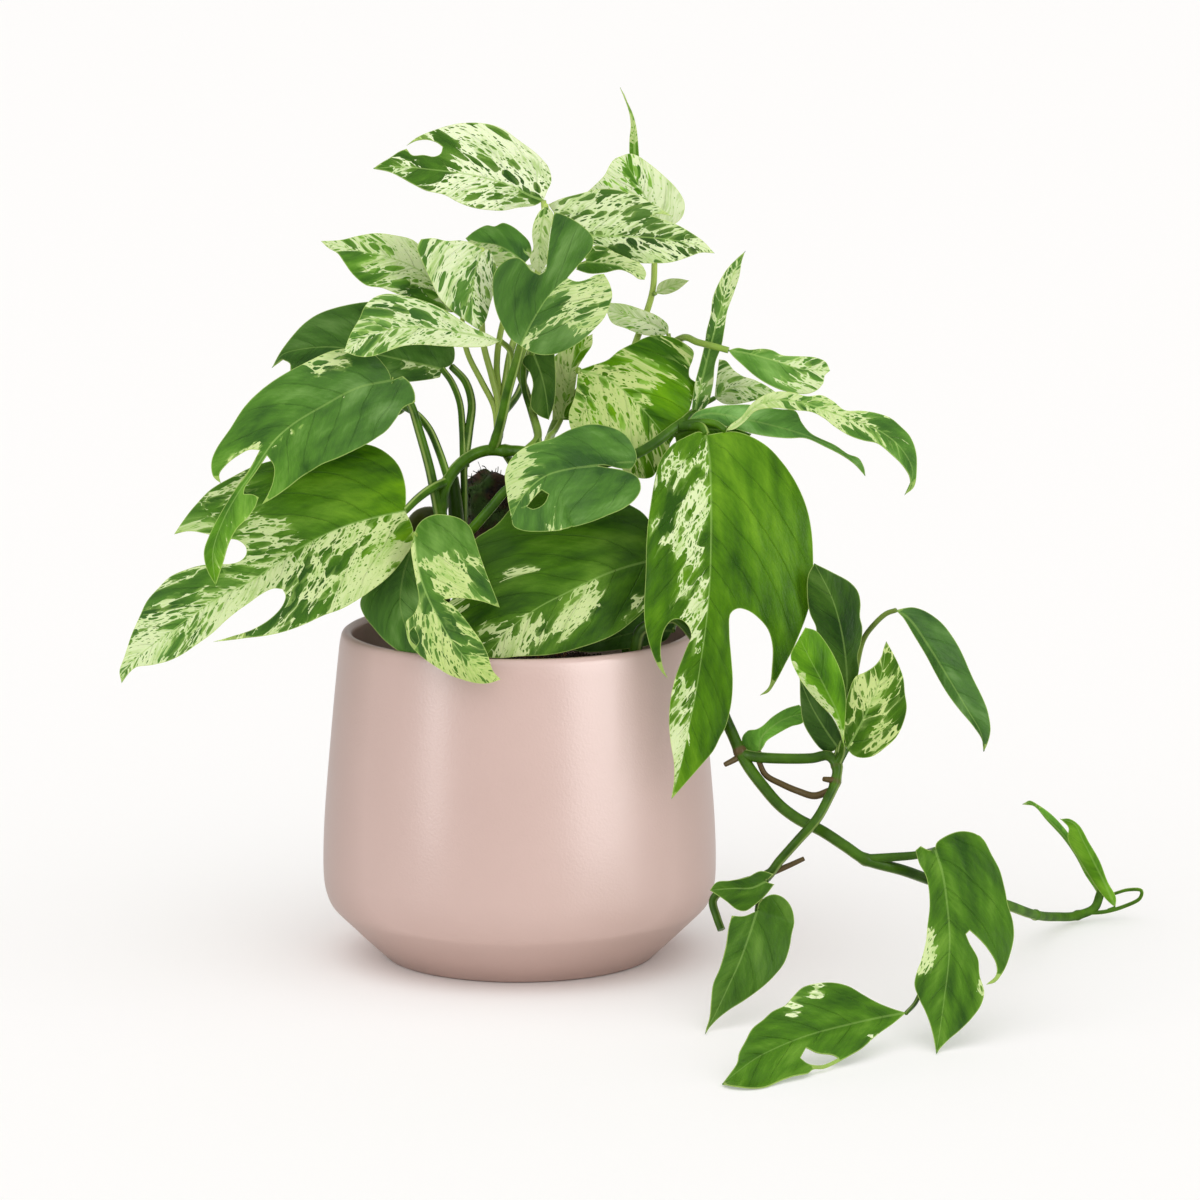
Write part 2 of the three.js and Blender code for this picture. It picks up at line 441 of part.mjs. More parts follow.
const trailingLeaves = {
  leaf_trail_tall: { colour: deepGreen,
    rib: [[140.2, 108, -78], [141, 122, -76], [139, 140, -73], [134.6, 156, -70], [127, 171, -68]],
    halves: [
      { form: [0.2, 0], margin: [[138, 116], [137, 124], [133.6, 131], [128.4, 139], [127.4, 144], [125, 149.5],
        [124, 158], [124.4, 166]] },
      { form: [0.3, 0], margin: [[143, 117], [146, 124.5], [145.6, 131], [147.2, 137], [147.7, 143], [146.5, 148],
        [146.6, 154], [145.4, 159], [142, 163], [135, 167]] },
    ] },
  leaf_trail_light: { colour: leafGreen,
    rib: [[139.5, 93, -90], [137.4, 105, -92], [131.4, 118, -94], [125, 130, -95], [120.6, 139, -95]],
    halves: [
      { form: [0.2, 0], margin: [[137.6, 99.6], [134.6, 105.4], [129.6, 110], [124.6, 116], [120, 123], [116.8, 131],
        [118.6, 135.6]] },
      { form: [0.3, 0], margin: [[140.2, 102], [140.6, 112], [139, 121.5], [136, 130], [132, 137], [127.6, 142],
        [123, 143.4]] },
    ] },
  leaf_trail_dark: { colour: deepGreen,
    rib: [[137.4, 91.4, -82], [132, 99, -80], [126, 109, -77], [120.6, 121.5, -74]],
    halves: [
      { form: [0.2, 0], margin: [[133, 89.6], [129.8, 91], [125.2, 97], [122.2, 103], [121, 111]] },
      { form: [-0.15, 0], margin: [[139, 95], [137.4, 100], [134.6, 105], [129.6, 110.6], [124.6, 116.6]] },
    ] },
  leaf_trail_marbled: { colour: marbled,
    rib: [[141, 91, -85], [146, 100, -86], [151.4, 111, -87], [156, 124, -88], [158, 137.4, -89]],
    halves: [
      { form: [-0.2, 0], margin: [[141.6, 98], [142.6, 107], [144.4, 116], [147, 123], [150.4, 124.6], [153, 127],
        [156, 131], [156.8, 134]] },
      { form: [0.3, 0], margin: [[144, 88.2], [148, 87.1], [152.6, 88], [157.4, 91.6], [162, 96.4], [165, 102.6],
        [166.6, 109], [166, 115], [165.4, 121.5], [163, 128], [160.4, 133]] },
    ] },
  leaf_trail_curled: { colour: deepGreen,
    rib: [[103.4, 89.6, -70], [104, 95.6, -69], [109.4, 101.2, -68], [116, 104.8, -67], [124, 106.6, -66]],
    halves: [
      { form: [0.3, 0], margin: [[101.4, 91.6], [102, 96.6], [104.6, 100.6], [109, 105], [115, 108.6], [120.4, 110.2]] },
      { form: [-0.3, 0], margin: [[105, 92], [106.6, 94.6], [111, 97.6], [117, 100.8], [122, 102.4]] },
    ] },
  leaf_trail_far: { colour: deepGreen,
    rib: [[162, 150.8, -72], [167.4, 147.4, -72], [176, 135.6, -73], [184.4, 122, -75], [192, 109.4, -77],
      [198.6, 98, -79], [200, 90, -80]],
    halves: [
      { form: [0.5, 0], margin: [[165, 151.6], [169.6, 152.1], [175, 150.4], [181, 146], [186, 139.4], [191, 131],
        [195.4, 121.6], [199.2, 113], [201.6, 106], [202.6, 99], [201.6, 94]] },
      { form: [0.4, 0], margin: [[165.4, 147.2], [169.4, 140.8], [174.6, 132], [179, 123.6], [184, 115.4],
        [189.6, 107.8], [195, 101.2], [199, 95]] },
    ] },
  leaf_ground_folded: { colour: deepGreen,
    rib: [[106, 34, -102], [100, 31.4, -104], [92, 31.2, -104], [82, 30.4, -102]],
    halves: [
      { form: [0.4, 0], margin: [[109.4, 37.4], [104, 38.6], [98, 36], [91, 34.6], [85, 33.9]] },
      { form: [-0.4, 0], margin: [[109.8, 33], [106.4, 28.6], [102, 24.6], [97.4, 21.6], [93.6, 22.2], [88.6, 26]] },
    ] },
  leaf_ground_heart: { colour: deepGreen,
    rib: [[102.4, 21.6, -104], [99, 11, -112], [95, 0, -120], [90, -11, -129], [85, -21.6, -137], [80, -31, -144]],
    halves: [
      { form: [-0.1, 0], margin: [[97, 19.4], [91.6, 19.6], [90, 14], [88.6, 5.6], [86.4, -3], [83.6, -10],
        [82.5, -18], [81.8, -25]] },
      { form: [0.1, 0], margin: [[103, 24.6], [106.6, 27.8], [110.4, 28.5], [114.4, 26.6], [117.2, 22.8], [118.3, 17],
        [117, 11], [116, 5], [114, -1], [110, -6.2], [105, -11], [97, -17], [90, -21.4], [85, -25.4]] },
    ] },
  leaf_ground_cut: { colour: leafGreen,
    rib: [[166.4, -22.5, -160], [155, -24.6, -168], [140, -28, -180], [125, -32, -192], [112, -37, -203],
      [102, -42, -212], [94, -47.8, -220], [87.3, -53, -226]],
    halves: [
      { form: [0.25, 0], margin: [[160, -20.6], [155, -18.5], [148, -14.5], [142, -11.2], [135, -9.7], [128, -10],
        [122, -11.6], [118, -15.5], [115, -19], [109, -22], [105, -25.5], [100, -29.5], [97, -35], [94.5, -40],
        [93.8, -44], [90.5, -49]] },
      { form: [-1.1, 0], margin: [[161, -27], [156, -30.6], [152, -34], [147, -38.5], [140, -42.2], [135, -44.6],
        [131, -46.2], [126.6, -46.8], [124, -49], [118, -50.5], [112, -52], [105, -54], [98, -54.7], [91, -54.2]],
        holes: [[[123.4, -37.6], [128, -39.4], [135, -40.4], [137.4, -41.8], [133.6, -43.6], [130, -44.8], [124, -44.6],
          [120.8, -42.4]]] },
    ] },
  leaf_ground_lobed: { colour: leafGreen,
    rib: [[179, 47.6, -114], [182, 38, -119], [184, 25, -127], [185.2, 10, -137], [184.6, -2, -146], [183, -15, -157],
      [181.2, -28, -168], [179.4, -39.5, -177]],
    halves: [
      { form: [0.2, 0], margin: [[176, 47.6], [172.6, 49.3], [170.4, 47.4], [172, 42], [175, 36.6], [176.2, 31],
        [176.5, 24], [175.5, 15], [175, 8], [173, 0], [171, -5], [170, -10], [172, -16], [174.5, -21.4], [176.6, -27],
        [178.2, -33]] },
      { form: [0.2, 0], margin: [[179.4, 50.6], [184, 54], [190, 55.8], [196, 54.8], [200, 51.5], [203, 46], [206.8, 39],
        [209, 31], [210.2, 24], [212, 17.4], [212.7, 11], [211.5, 4], [209.6, -2], [207, -6.6], [205, -8.8],
        [201, -10], [205.4, -5.6], [205.2, -1], [201, 5.6], [197, 9.8], [193.6, 12.8], [192, 11.2], [193.6, 7.4],
        [197.4, 1], [198.2, -6], [200, -13], [198.6, -19], [195, -24.4], [190, -29.5], [184.6, -34]] },
    ] },
  leaf_young_long: { colour: leafGreen,
    rib: [[249.6, 27, 60], [247, 34, 61], [241, 42.6, 62], [235.4, 52.4, 63], [228, 60.4, 64], [222.4, 66, 65],
      [219, 68.2, 66], [216.4, 67.2, 67]],
    halves: [
      { form: [0.5, 0], margin: [[247.4, 31], [243.4, 37], [239.4, 44.6], [234, 52.6], [226.6, 60.6], [221.4, 66.4]] },
      { form: [0.5, 0], margin: [[251.4, 31], [249.6, 35], [243, 44], [237.4, 53.4], [230, 62], [223.4, 67],
        [219.4, 69]] },
    ] },
  leaf_young_short: { colour: leafGreen,
    rib: [[256.4, 23, 59], [252, 33, 58], [247.6, 41.6, 57], [242.4, 52, 56], [238.6, 59, 55], [232.6, 61, 54]],
    halves: [
      { form: [0.5, 0], margin: [[253.6, 25.4], [249.6, 34.6], [244.6, 42], [239.4, 51], [238.8, 56]] },
      { form: [0.5, 0], margin: [[256.6, 27.4], [253.2, 34], [249.6, 43], [245, 51], [240.8, 58.4], [236.6, 61.2]] },
    ] },
};

// Leaves on the far side of the crown, which the front hides: joint, tip, width and roll.
const farLeaves = {
  leaf_far_low_right: { joint: [38, 176, 30], tip: [26, 156, 98], width: 56, roll: 0.3, colour: leafGreen },
  leaf_far_low_left: { joint: [-68, 192, 10], tip: [-104, 152, 40], width: 50, roll: -0.4, colour: deepGreen },
  leaf_far_middle: { joint: [2, 200, 50], tip: [-22, 190, 112], width: 46, roll: -0.2, colour: marbled },
  leaf_far_high: { joint: [2, 285, 30], tip: [-14, 296, 92], width: 44, roll: 0.2, colour: marbled },
  leaf_far_right: { joint: [74, 196, 10], tip: [106, 176, 66], width: 52, roll: 0.4, colour: leafGreen },
  leaf_far_left: { joint: [-62, 236, 24], tip: [-96, 236, 80], width: 46, roll: -0.3, colour: marbled },
};

// Half the width of a heart-shaped leaf against the way from its joint to its tip.
const heartHalf = [[-0.13, 0.16], [-0.15, 0.34], [-0.08, 0.72], [0.08, 0.95], [0.26, 1], [0.46, 0.86], [0.66, 0.58],
  [0.82, 0.28], [0.93, 0.1]];
const heartRib = [0, 0.16, 0.34, 0.52, 0.7, 0.86, 1];
const ribDroop = 0.1;

function heartBlade({ joint, tip, width, roll }, thickness = bladeThickness, spread = 0) {
  const from = seen(...joint);
  const to = seen(...tip);
  const along = to.clone().sub(from);
  const across = new THREE.Vector3().crossVectors(along, new THREE.Vector3(0, 0, 1)).normalize();
  across.applyAxisAngle(along.clone().normalize(), roll);
  const lift = new THREE.Vector3().crossVectors(across, along).normalize();
  const spot = (t, side) => from.clone().addScaledVector(along, t)
    .addScaledVector(across, side * width / 2)
    .addScaledVector(lift, along.length() * ribDroop * 4 * t * (1 - t) + 0.12 * Math.abs(side) * width);
  const points = heartRib.map((t) => spot(t, 0));
  const faces = [];
  const flatRib = heartRib.map((t) => new THREE.Vector2(t, 0));
  for (const side of [1, -1]) {
    const margin = heartHalf.map(([t, w]) => new THREE.Vector2(t, w * side)).reverse();
    const contour = flatRib.concat(margin);
    const ids = heartRib.map((t, i) => i);
    for (const { x, y } of margin) {
      ids.push(points.length);
      points.push(spot(x, y));
    }
    for (const face of THREE.ShapeUtils.triangulateShape(contour, [])) {
      const [a, b, c] = face.map((corner) => ids[corner]);
      const [p, q, r] = face.map((corner) => contour[corner]);
      const turn = (q.x - p.x) * (r.y - p.y) - (q.y - p.y) * (r.x - p.x);
      faces.push(turn > 0 ? [a, b, c] : [a, c, b]);
    }
  }
  return sheet(points, faces, thickness, spread);
}

// A round stem through its points, a little longer than its curve where it stands in the soil.
function stem(points, radius) {
  const curve = new THREE.CatmullRomCurve3(points, false, 'centripetal');
  const sides = radius < thinStem ? tubeSides - 1 : tubeSides;
  const outline = new THREE.Shape();
  for (let i = 0; i < sides; i += 1) {
    const angle = i / sides * Math.PI * 2;
    outline[i ? 'lineTo' : 'moveTo'](radius * Math.cos(angle), radius * Math.sin(angle));
  }
  outline.closePath();
  return toSolid(new THREE.ExtrudeGeometry(outline, {
    steps: points.length,
    bevelEnabled: false,
    extrudePath: curve,
  }));
}

function foot(x, y, extra = 0) {
  return [new THREE.Vector3(x, y, soilTop + 3), new THREE.Vector3(x, y, soilTop - holeDepth - extra)];
}

// Each stem runs from its leaf's joint to where it grows from: path in front-view points,
// thickness, and for a stem that stands in the soil its place there.
const crownStems = [
  { radius: 2.6, foot: [-31, -22], path: [[71, 232, -24], [66, 228.5, -27], [58, 222.5, -31], [50, 218, -33],
    [35, 214, -31], [18, 214.5, -25], [2, 219, -19], [-6, 219.4, -15], [-14, 219.5, -14], [-21, 217, -17],
    [-27, 212, -20], [-31.5, 205, -23], [-33.5, 196, -24], [-33, 184, -24]] },
  { radius: 1.9, path: [[-49, 193.5, -44], [-44, 198.5, -38], [-38, 203, -31], [-31.5, 206, -23]] },
  { radius: 1.7, path: [[-45, 183, -57], [-41, 185, -49], [-37, 185.6, -38], [-33.4, 185, -25]] },
  { radius: 1.7, path: [[-46.5, 177, -44], [-42, 179, -34], [-33, 181, -24]] },
  { radius: 2, path: [[-55, 249.6, -32], [-50.4, 245, -25], [-46.5, 239, -23], [-43, 228, -23], [-38.5, 212, -25],
    [-36, 200, -26], [-34, 190, -25]] },
  { radius: 1.6, path: [[-62, 236, 24], [-56, 239, 8], [-50, 238.4, -5], [-44, 235, -10], [-38.6, 228.6, -14],
    [-34, 218, -18], [-30.6, 207.6, -22]] },
  { radius: 1.7, foot: [-22, -12], path: [[-33, 254.5, 4], [-29, 249, 1], [-25.5, 240, -3], [-24.4, 229, -7],
    [-24, 216, -15], [-23.6, 205, -14], [-23.6, 188, -13]] },
  { radius: 1.9, path: [[-29, 255.6, 8], [-23, 249, 3], [-20.4, 240, -1], [-21.6, 228, -8], [-23.8, 213, -15]] },
  { radius: 1.5, path: [[-8, 266.6, -24], [-4, 262.6, -20], [-3.4, 255, -17], [-5.4, 245, -15], [-7, 235, -14],
    [-9.4, 222, -14]] },
  { radius: 2.1, path: [[0.6, 264.6, -30], [-1.4, 257, -26], [-4.8, 245, -22], [-7, 235, -19], [-9.4, 226, -16],
    [-11.6, 219.6, -14]] },
  { radius: 1.3, path: [[-24, 279, -9], [-24.4, 272, -4], [-22, 261, -2], [-16, 249, -6], [-10.6, 238, -9],
    [-9.2, 226, -13]] },
  { radius: 1.4, path: [[-16, 306, -16], [-15.6, 300, -9], [-16, 285, -5], [-15.4, 266, -4], [-11.6, 251, -7],
    [-8.6, 238, -11], [-9.4, 226, -13]] },
  { radius: 1.4, path: [[2.5, 300, 5], [-2, 290, 5], [-8, 270, 3], [-9.6, 255, -2], [-8.2, 240, -8],
    [-9.4, 227, -13]] },
  { radius: 1.5, path: [[10.5, 327, 0], [11, 318, 1], [9, 300, 3], [2.4, 280, 3], [-3.6, 262, 1], [-6, 248, -5],
    [-8, 236, -11]] },
  { radius: 1.2, path: [[11.5, 325, -11], [12.4, 321, -5], [11, 316.6, 1]] },
  { radius: 1, path: [[29, 300.5, -16], [26.4, 299.4, -12], [23, 299.4, -6], [19.6, 299.6, -1]] },
  { radius: 1.6, path: [[24, 313, -5], [20, 301, -1], [12, 285, 2], [4, 268, 2], [0, 255, -2], [3, 245, -6],
    [6, 235, -10], [8, 225, -15], [3, 219.4, -19]] },
  { radius: 1.5, path: [[60, 318, 20], [58.4, 303, 16], [57.4, 288, 13], [51.6, 270, 11], [46, 256, 8], [36, 240, 4],
    [24, 228, -8], [15, 215.6, -25]] },
  { radius: 1.2, path: [[49.6, 345, 27], [52, 334, 28], [57, 322, 25], [58.6, 308, 18]] },
  { radius: 1.2, path: [[64.2, 269.6, 8], [65, 262, 5], [58, 250, 3], [48, 238, 3], [36, 239.4, 4]] },
  { radius: 1, path: [[58.8, 287, 10], [57.4, 286.6, 13]] },
  { radius: 1.8, path: [[25.5, 254, -10], [22, 250, -8], [18.4, 240, -9], [13.4, 229, -14], [11, 216, -23]] },
  { radius: 1.3, path: [[18, 232.6, 2], [15.4, 228, -5], [12.8, 225.4, -12], [12, 223, -18]] },
  { radius: 1.5, path: [[6, 261.6, -15], [2.4, 257, -9], [2.2, 247, -8], [5, 237, -9], [8, 226, -14], [8, 217.4, -22]] },
  { radius: 2.1, path: [[33, 213, -50], [30, 211.6, -42], [22, 207, -37], [10, 206, -37], [-4, 203.4, -38],
    [-12, 195, -38], [-20, 186, -37], [-28, 179, -31], [-33, 176, -23.6]] },
  { radius: 2.2, path: [[80.5, 226, -36], [78.4, 229.4, -31], [74, 230, -27], [69, 230, -26]] },
  { radius: 1.4, path: [[75.6, 236, -15], [73, 234.6, -19], [69, 230.6, -25]] },
  { radius: 1.3, path: [[84, 242, -4], [78, 238.6, -8], [72, 234, -17], [67.6, 229.4, -25]] },
  { radius: 1.7, path: [[90, 262.6, -26], [84, 264.2, -24], [77, 266, -17], [70.6, 268, -5], [63, 262, 5], [52, 240, 1],
    [43, 228, -10], [36, 215, -29]] },
  { radius: 1.6, path: [[89, 228, -37], [84.6, 231, -33], [77, 231.6, -28], [69, 230.4, -26]] },
  { radius: 1.2, path: [[67, 226, -24], [66, 227.6, -26]] },
  { radius: 1.6, path: [[-68, 192, 10], [-56, 188, 2], [-43, 186, -11], [-34, 184, -22]] },
  { radius: 1.6, path: [[2, 200, 50], [4, 202, 34], [0, 209, 8], [-6.4, 219, -14.6]] },
  { radius: 1.5, path: [[2, 285, 30], [4, 262, 22], [0, 245, 6], [-7.4, 234.6, -11]] },
];

const rightStems = [
  { radius: 2, foot: [46, -18], path: [[56, 172, -45], [57.4, 174, -38], [54, 172, -30], [48, 160, -22]] },
  { radius: 1.5, path: [[66, 142, -20], [66, 147, -13], [58, 149, -12], [48, 148, -19]] },
  { radius: 1.6, path: [[38, 176, 30], [38, 170, 18], [44, 158, -4], [48, 150, -18]] },
  { radius: 1.7, path: [[74, 196, 10], [70, 184, 4], [58, 166, -6], [48, 155, -19]] },
];

const vineStems = [
  { radius: vineRadius, foot: [50, -47], path: [[249.6, 27, 60], [247.4, 22.4, 58], [240, 19.6, 54], [231, 19, 38],
    [222, 19.8, 8], [210, 24, -32], [194, 29.4, -66], [178, 34.4, -88], [165, 39, -98], [149, 43.6, -101],
    [140, 49.5, -98], [130, 56, -93], [120, 61, -88], [112, 67, -84], [105, 75, -80], [99, 83, -76], [95, 90, -73],
    [92, 97, -70], [88, 106, -67], [83, 122, -63], [76, 138.6, -57], [67, 147.6, -53], [58, 145, -49.6], [52, 141.4, -47.6]] },
  { radius: 2.1, path: [[87, 13.4, -95], [85, 19, -92], [83.4, 26, -89], [88, 31, -90], [97, 34, -93], [107, 37, -97],
    [112, 43, -99], [120, 52, -101], [128, 61, -99], [133, 70, -93], [136, 77, -89], [136.6, 84, -86], [133, 88.2, -84],
    [126, 87.2, -83], [115, 87, -81], [103, 87.6, -77], [95, 89, -73]] },
  { radius: 1.6, path: [[139.5, 93, -90], [138.8, 89, -87], [136.4, 84, -86]] },
  { radius: 1.4, path: [[137.4, 91.4, -82], [136.6, 88.6, -84], [135.6, 85.6, -86]] },
  { radius: 1.4, path: [[141, 91, -85], [139.4, 88.4, -86], [136.8, 84, -86]] },
  { radius: 1.4, path: [[140.2, 108, -78], [139.6, 98, -80], [137.4, 88, -84]] },
  { radius: 1.3, path: [[162, 150.8, -72], [158, 149.4, -69], [153, 145, -65], [148, 138, -60], [145, 126, -59],
    [142.6, 110, -64], [140, 97, -76], [138, 90, -83]] },
  { radius: 1.2, path: [[103.4, 89.6, -70], [103, 87.8, -76]] },
  { radius: 1, path: [[103, 86, -77], [106, 80, -77], [113, 76, -79], [120, 73, -82], [127, 71, -87], [133.4, 73, -91]] },
  { radius: 1.3, path: [[88.5, 84.4, -77], [92, 86.2, -75], [95, 88, -73]] },
  { radius: 1.2, path: [[122.5, 44, -93], [116, 41, -95], [109, 38, -97]] },
  { radius: 1, path: [[131, 78.2, -92], [135.6, 77.6, -89]] },
  { radius: 1.8, path: [[179, 47.6, -114], [176, 46.6, -106], [170, 45.4, -103], [160, 44.6, -102],
    [149, 43.8, -101]] },
  { radius: 1.4, path: [[106, 34, -102], [107, 36, -97]] },
  { radius: 1.4, path: [[102.4, 21.6, -104], [103.4, 27, -97], [104, 34.6, -95]] },
  { radius: 1.1, path: [[166.4, -22.5, -160], [171, -17, -149], [177, 0, -133], [180, 18, -116], [177, 33.4, -91]] },
  { radius: 0.9, path: [[255, 28.6, 62], [262, 30.6, 61], [267.6, 30.2, 60], [267, 27, 60], [260, 23.4, 60],
    [252, 21.2, 58], [244, 20.6, 56]] },
  { radius: 0.9, path: [[256.4, 23, 59], [253.4, 21.6, 58.4]] },
];

function buildStem({ path, radius, foot: spot }, grow = 0) {
  const points = path.map((point) => seen(...point, groundClearance + radius));
  const next = points[1].clone().sub(points[0]);
  points[0].addScaledVector(next.normalize(), jointGap - grow);
  const footing = spot ? foot(...spot, grow) : [];
  return stem(points.concat(footing), radius + grow);
}

function joinAll(solids) {
  return solids.reduce((whole, solid) => whole.add(solid));
}

const potProfile = [[0, 0], [footRadius - 1.5, 0], [footRadius + 1, 1.6], [72.4, 13.6], [80, 21.4], [83.8, 28],
  [potRadius, 38], [84.5, 58], [81, 100], [78, 130], [rimRadius, 138], [75.8, 141.7], [73.4, potHeight], [71.8, 139]];
const potInside = [[72.8, 130], [76, 100], [79.3, 58], [79.8, 40], [77.6, 28], [68, 17.4], [55, 8], [0, 8]];
const potSegments = 36;

function lathe(profile) {
  return new THREE.LatheGeometry(profile.map(([x, y]) => new THREE.Vector2(x, y)), potSegments).rotateX(Math.PI / 2);
}

// The soil fills the pot up to a slightly mounded top, a hair inside the wall.
const soilSide = potInside.filter(([, z]) => z < soilTop - 1);
const soilProfile = [[0, 8 + clearance]].concat(
  soilSide.slice(0, -1).reverse().map(([x, z]) => [x - clearance, z + clearance]),
  [[74.3 - clearance, soilTop - 3], [60, soilTop], [30, soilTop + 1], [0, soilTop + 1]],
);

const stakeRadius = 9.5;
const stakeTop = 204;
const stakePlace = [-13, 22];

function stake(grow = 0) {
  const bottom = soilTop - holeDepth * 1.6 - grow;
  const height = stakeTop + grow - bottom;
  const post = new THREE.CylinderGeometry(stakeRadius + grow, stakeRadius + grow, height, 14, 4);
  const position = post.attributes.position;
  for (let i = 0; i < position.count; i += 1) {
    const angle = Math.atan2(position.getZ(i), position.getX(i));
    const swell = 1 + 0.04 * Math.sin(3 * angle + 0.12 * position.getY(i));
    if (Math.hypot(position.getX(i), position.getZ(i)) > 1) {
      position.setX(i, position.getX(i) * swell);
      position.setZ(i, position.getZ(i) * swell);
    }
  }
  post.rotateX(Math.PI / 2);
  post.translate(stakePlace[0], stakePlace[1], bottom + height / 2);
  return post;
}

const blades = new Map();
const fatBlades = [];
const fatThickness = bladeThickness + 3 * clearance;
for (const [name, leaf] of Object.entries({ ...leaves, ...trailingLeaves })) {
  blades.set(name, { geometry: blade(leaf), colour: leaf.colour });
  fatBlades.push(toSolid(blade(leaf, fatThickness, clearance)));
}
for (const [name, leaf] of Object.entries(farLeaves)) {
  blades.set(name, { geometry: heartBlade(leaf), colour: leaf.colour });
  fatBlades.push(toSolid(heartBlade(leaf, fatThickness, clearance)));
}

// Stems that grow together are one solid, cut back a hair from every blade they carry.
function growth(stems) {
  return fatBlades.reduce((whole, fat) => whole.subtract(fat), joinAll(stems.map((one) => buildStem(one))));
}

const standing = [...crownStems, ...rightStems, ...vineStems].filter((one) => one.foot)
  .map((one) => buildStem(one, clearance));
const soil = standing.reduce(
  (whole, hole) => whole.subtract(hole),
  toSolid(lathe(soilProfile)).subtract(toSolid(stake(clearance))),
);

place('pot', lathe(potProfile.concat(potInside)), '#c9a59b', 0.5);
place('soil', toGeometry(soil), '#2f241c', 0.95);
place('coir_stake', stake(), '#4a2f1d', 0.95);
place('crown_stems', toGeometry(growth(crownStems)), stemGreen, 0.5);
place('low_right_stems', toGeometry(growth(rightStems)), stemGreen, 0.5);
place('trailing_vine', toGeometry(growth(vineStems)), stemGreen, 0.5);
for (const [name, { geometry, colour }] of blades) {
  place(name, geometry, colour, 0.45);
}

export default plant;
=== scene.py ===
import math
from functools import partial
import bpy
import numpy as np
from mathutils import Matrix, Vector
from mathutils.geometry import delaunay_2d_cdt


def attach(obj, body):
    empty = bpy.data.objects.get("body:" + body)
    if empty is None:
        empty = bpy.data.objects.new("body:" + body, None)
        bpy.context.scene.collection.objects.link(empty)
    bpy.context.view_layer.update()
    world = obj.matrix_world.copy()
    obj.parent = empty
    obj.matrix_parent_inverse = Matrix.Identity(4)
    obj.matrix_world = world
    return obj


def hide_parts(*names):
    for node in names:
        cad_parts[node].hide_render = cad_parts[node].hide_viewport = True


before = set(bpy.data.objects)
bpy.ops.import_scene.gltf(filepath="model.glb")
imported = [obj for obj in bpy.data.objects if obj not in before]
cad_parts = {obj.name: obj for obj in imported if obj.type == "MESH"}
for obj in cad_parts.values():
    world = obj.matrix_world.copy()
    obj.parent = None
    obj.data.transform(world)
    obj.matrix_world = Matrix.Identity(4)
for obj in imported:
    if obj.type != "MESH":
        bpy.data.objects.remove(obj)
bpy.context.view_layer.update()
print('frame loaded:', len(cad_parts), 'CAD nodes')

# Every leaf and stem point is [right, up, deep] in millimetres, as the camera sees it:
# right and up on the upright plane through the pot's axis, deep the distance behind that axis.
view = {'distance': 2320, 'pitch': math.radians(9.7), 'right': 34.8, 'up': 155.2, 'height': 154.8,
        'frameWidth': 516, 'groundClearance': 1}


# Carries such a point to its place in metres, at least lowest millimetres above the ground.
def seen(right, up, deep, lowest=view['groundClearance']):
    sine, cosine = math.sin(view['pitch']), math.cos(view['pitch'])
    rise = np.asarray(up, float) - view['up']
    toDepth = (deep - rise * sine) / (cosine + rise * sine / view['distance'])
    toGround = (view['height'] + rise * cosine - lowest) / (sine - rise * cosine / view['distance'])
    away = np.minimum(toDepth, toGround)
    scale = 1 + away / view['distance']
    x = view['right'] + (right - view['right']) * scale
    y = rise * scale * sine + away * cosine
    z = view['height'] + rise * scale * cosine - away * sine
    return np.stack([x, y, z], -1) / 1000


# Turns an sRGB hex colour to the linear one that nodes take.
def hexColour(text):
    parts = [int(text[i:i + 2], 16) / 255 for i in (1, 3, 5)]
    return tuple(v / 12.92 if v <= 0.04045 else ((v + 0.055) / 1.055) ** 2.4 for v in parts) + (1,)


# Adds a node of a family, such as ShaderNode, with its settings, fills its inputs, by name or number, with
# values or links, and gives its outputs. A list of sockets fills an input that takes several.
def addNode(tree, family, kind, inputs=None, **settings):
    node = tree.nodes.new(family + kind)
    for key, value in settings.items():
        setattr(node, key, value)
    for key, value in (inputs or {}).items():
        if isinstance(value, (list, bpy.types.NodeSocket)):
            for socket in value if isinstance(value, list) else [value]:
                tree.links.new(socket, node.inputs[key])
        else:
            node.inputs[key].default_value = value
    return node.outputs


# A new material, what adds its nodes, and the linear colours of its paint.
def newMaterial(name, paint):
    material = bpy.data.materials.new(name)
    material.use_nodes = True
    material.node_tree.nodes.clear()
    tint = {key: hexColour(value) for key, value in paint.items() if isinstance(value, str)}
    return material, partial(addNode, material.node_tree, 'ShaderNode'), tint


# A new Geometry Nodes tree with named inputs, what adds its nodes, and what it is given.
def newTree(name, inputs):
    tree = bpy.data.node_groups.new(name, 'GeometryNodeTree')
    tree.interface.new_socket('Geometry', in_out='OUTPUT', socket_type='NodeSocketGeometry')
    for label, kind in inputs.items():
        tree.interface.new_socket(label, in_out='INPUT', socket_type='NodeSocket' + kind)
    add = partial(addNode, tree, '')
    return tree, add, add('NodeGroupInput')


# Runs a Geometry Nodes tree on an object with the given inputs and keeps only the plain mesh.
def runTree(obj, tree, values, name):
    modifier = obj.modifiers.new(tree.name, 'NODES')
    modifier.node_group = tree
    for socket in tree.interface.items_tree:
        if socket.in_out == 'INPUT' and socket.name in values:
            modifier[socket.identifier] = values[socket.name]
    bpy.context.view_layer.update()
    shown = obj.evaluated_get(bpy.context.evaluated_depsgraph_get())
    mesh = bpy.data.meshes.new_from_object(shown)
    obj.modifiers.clear()
    made = bpy.data.objects.new(name, mesh)
    bpy.context.scene.collection.objects.link(made)
    bpy.data.objects.remove(obj)
    return made


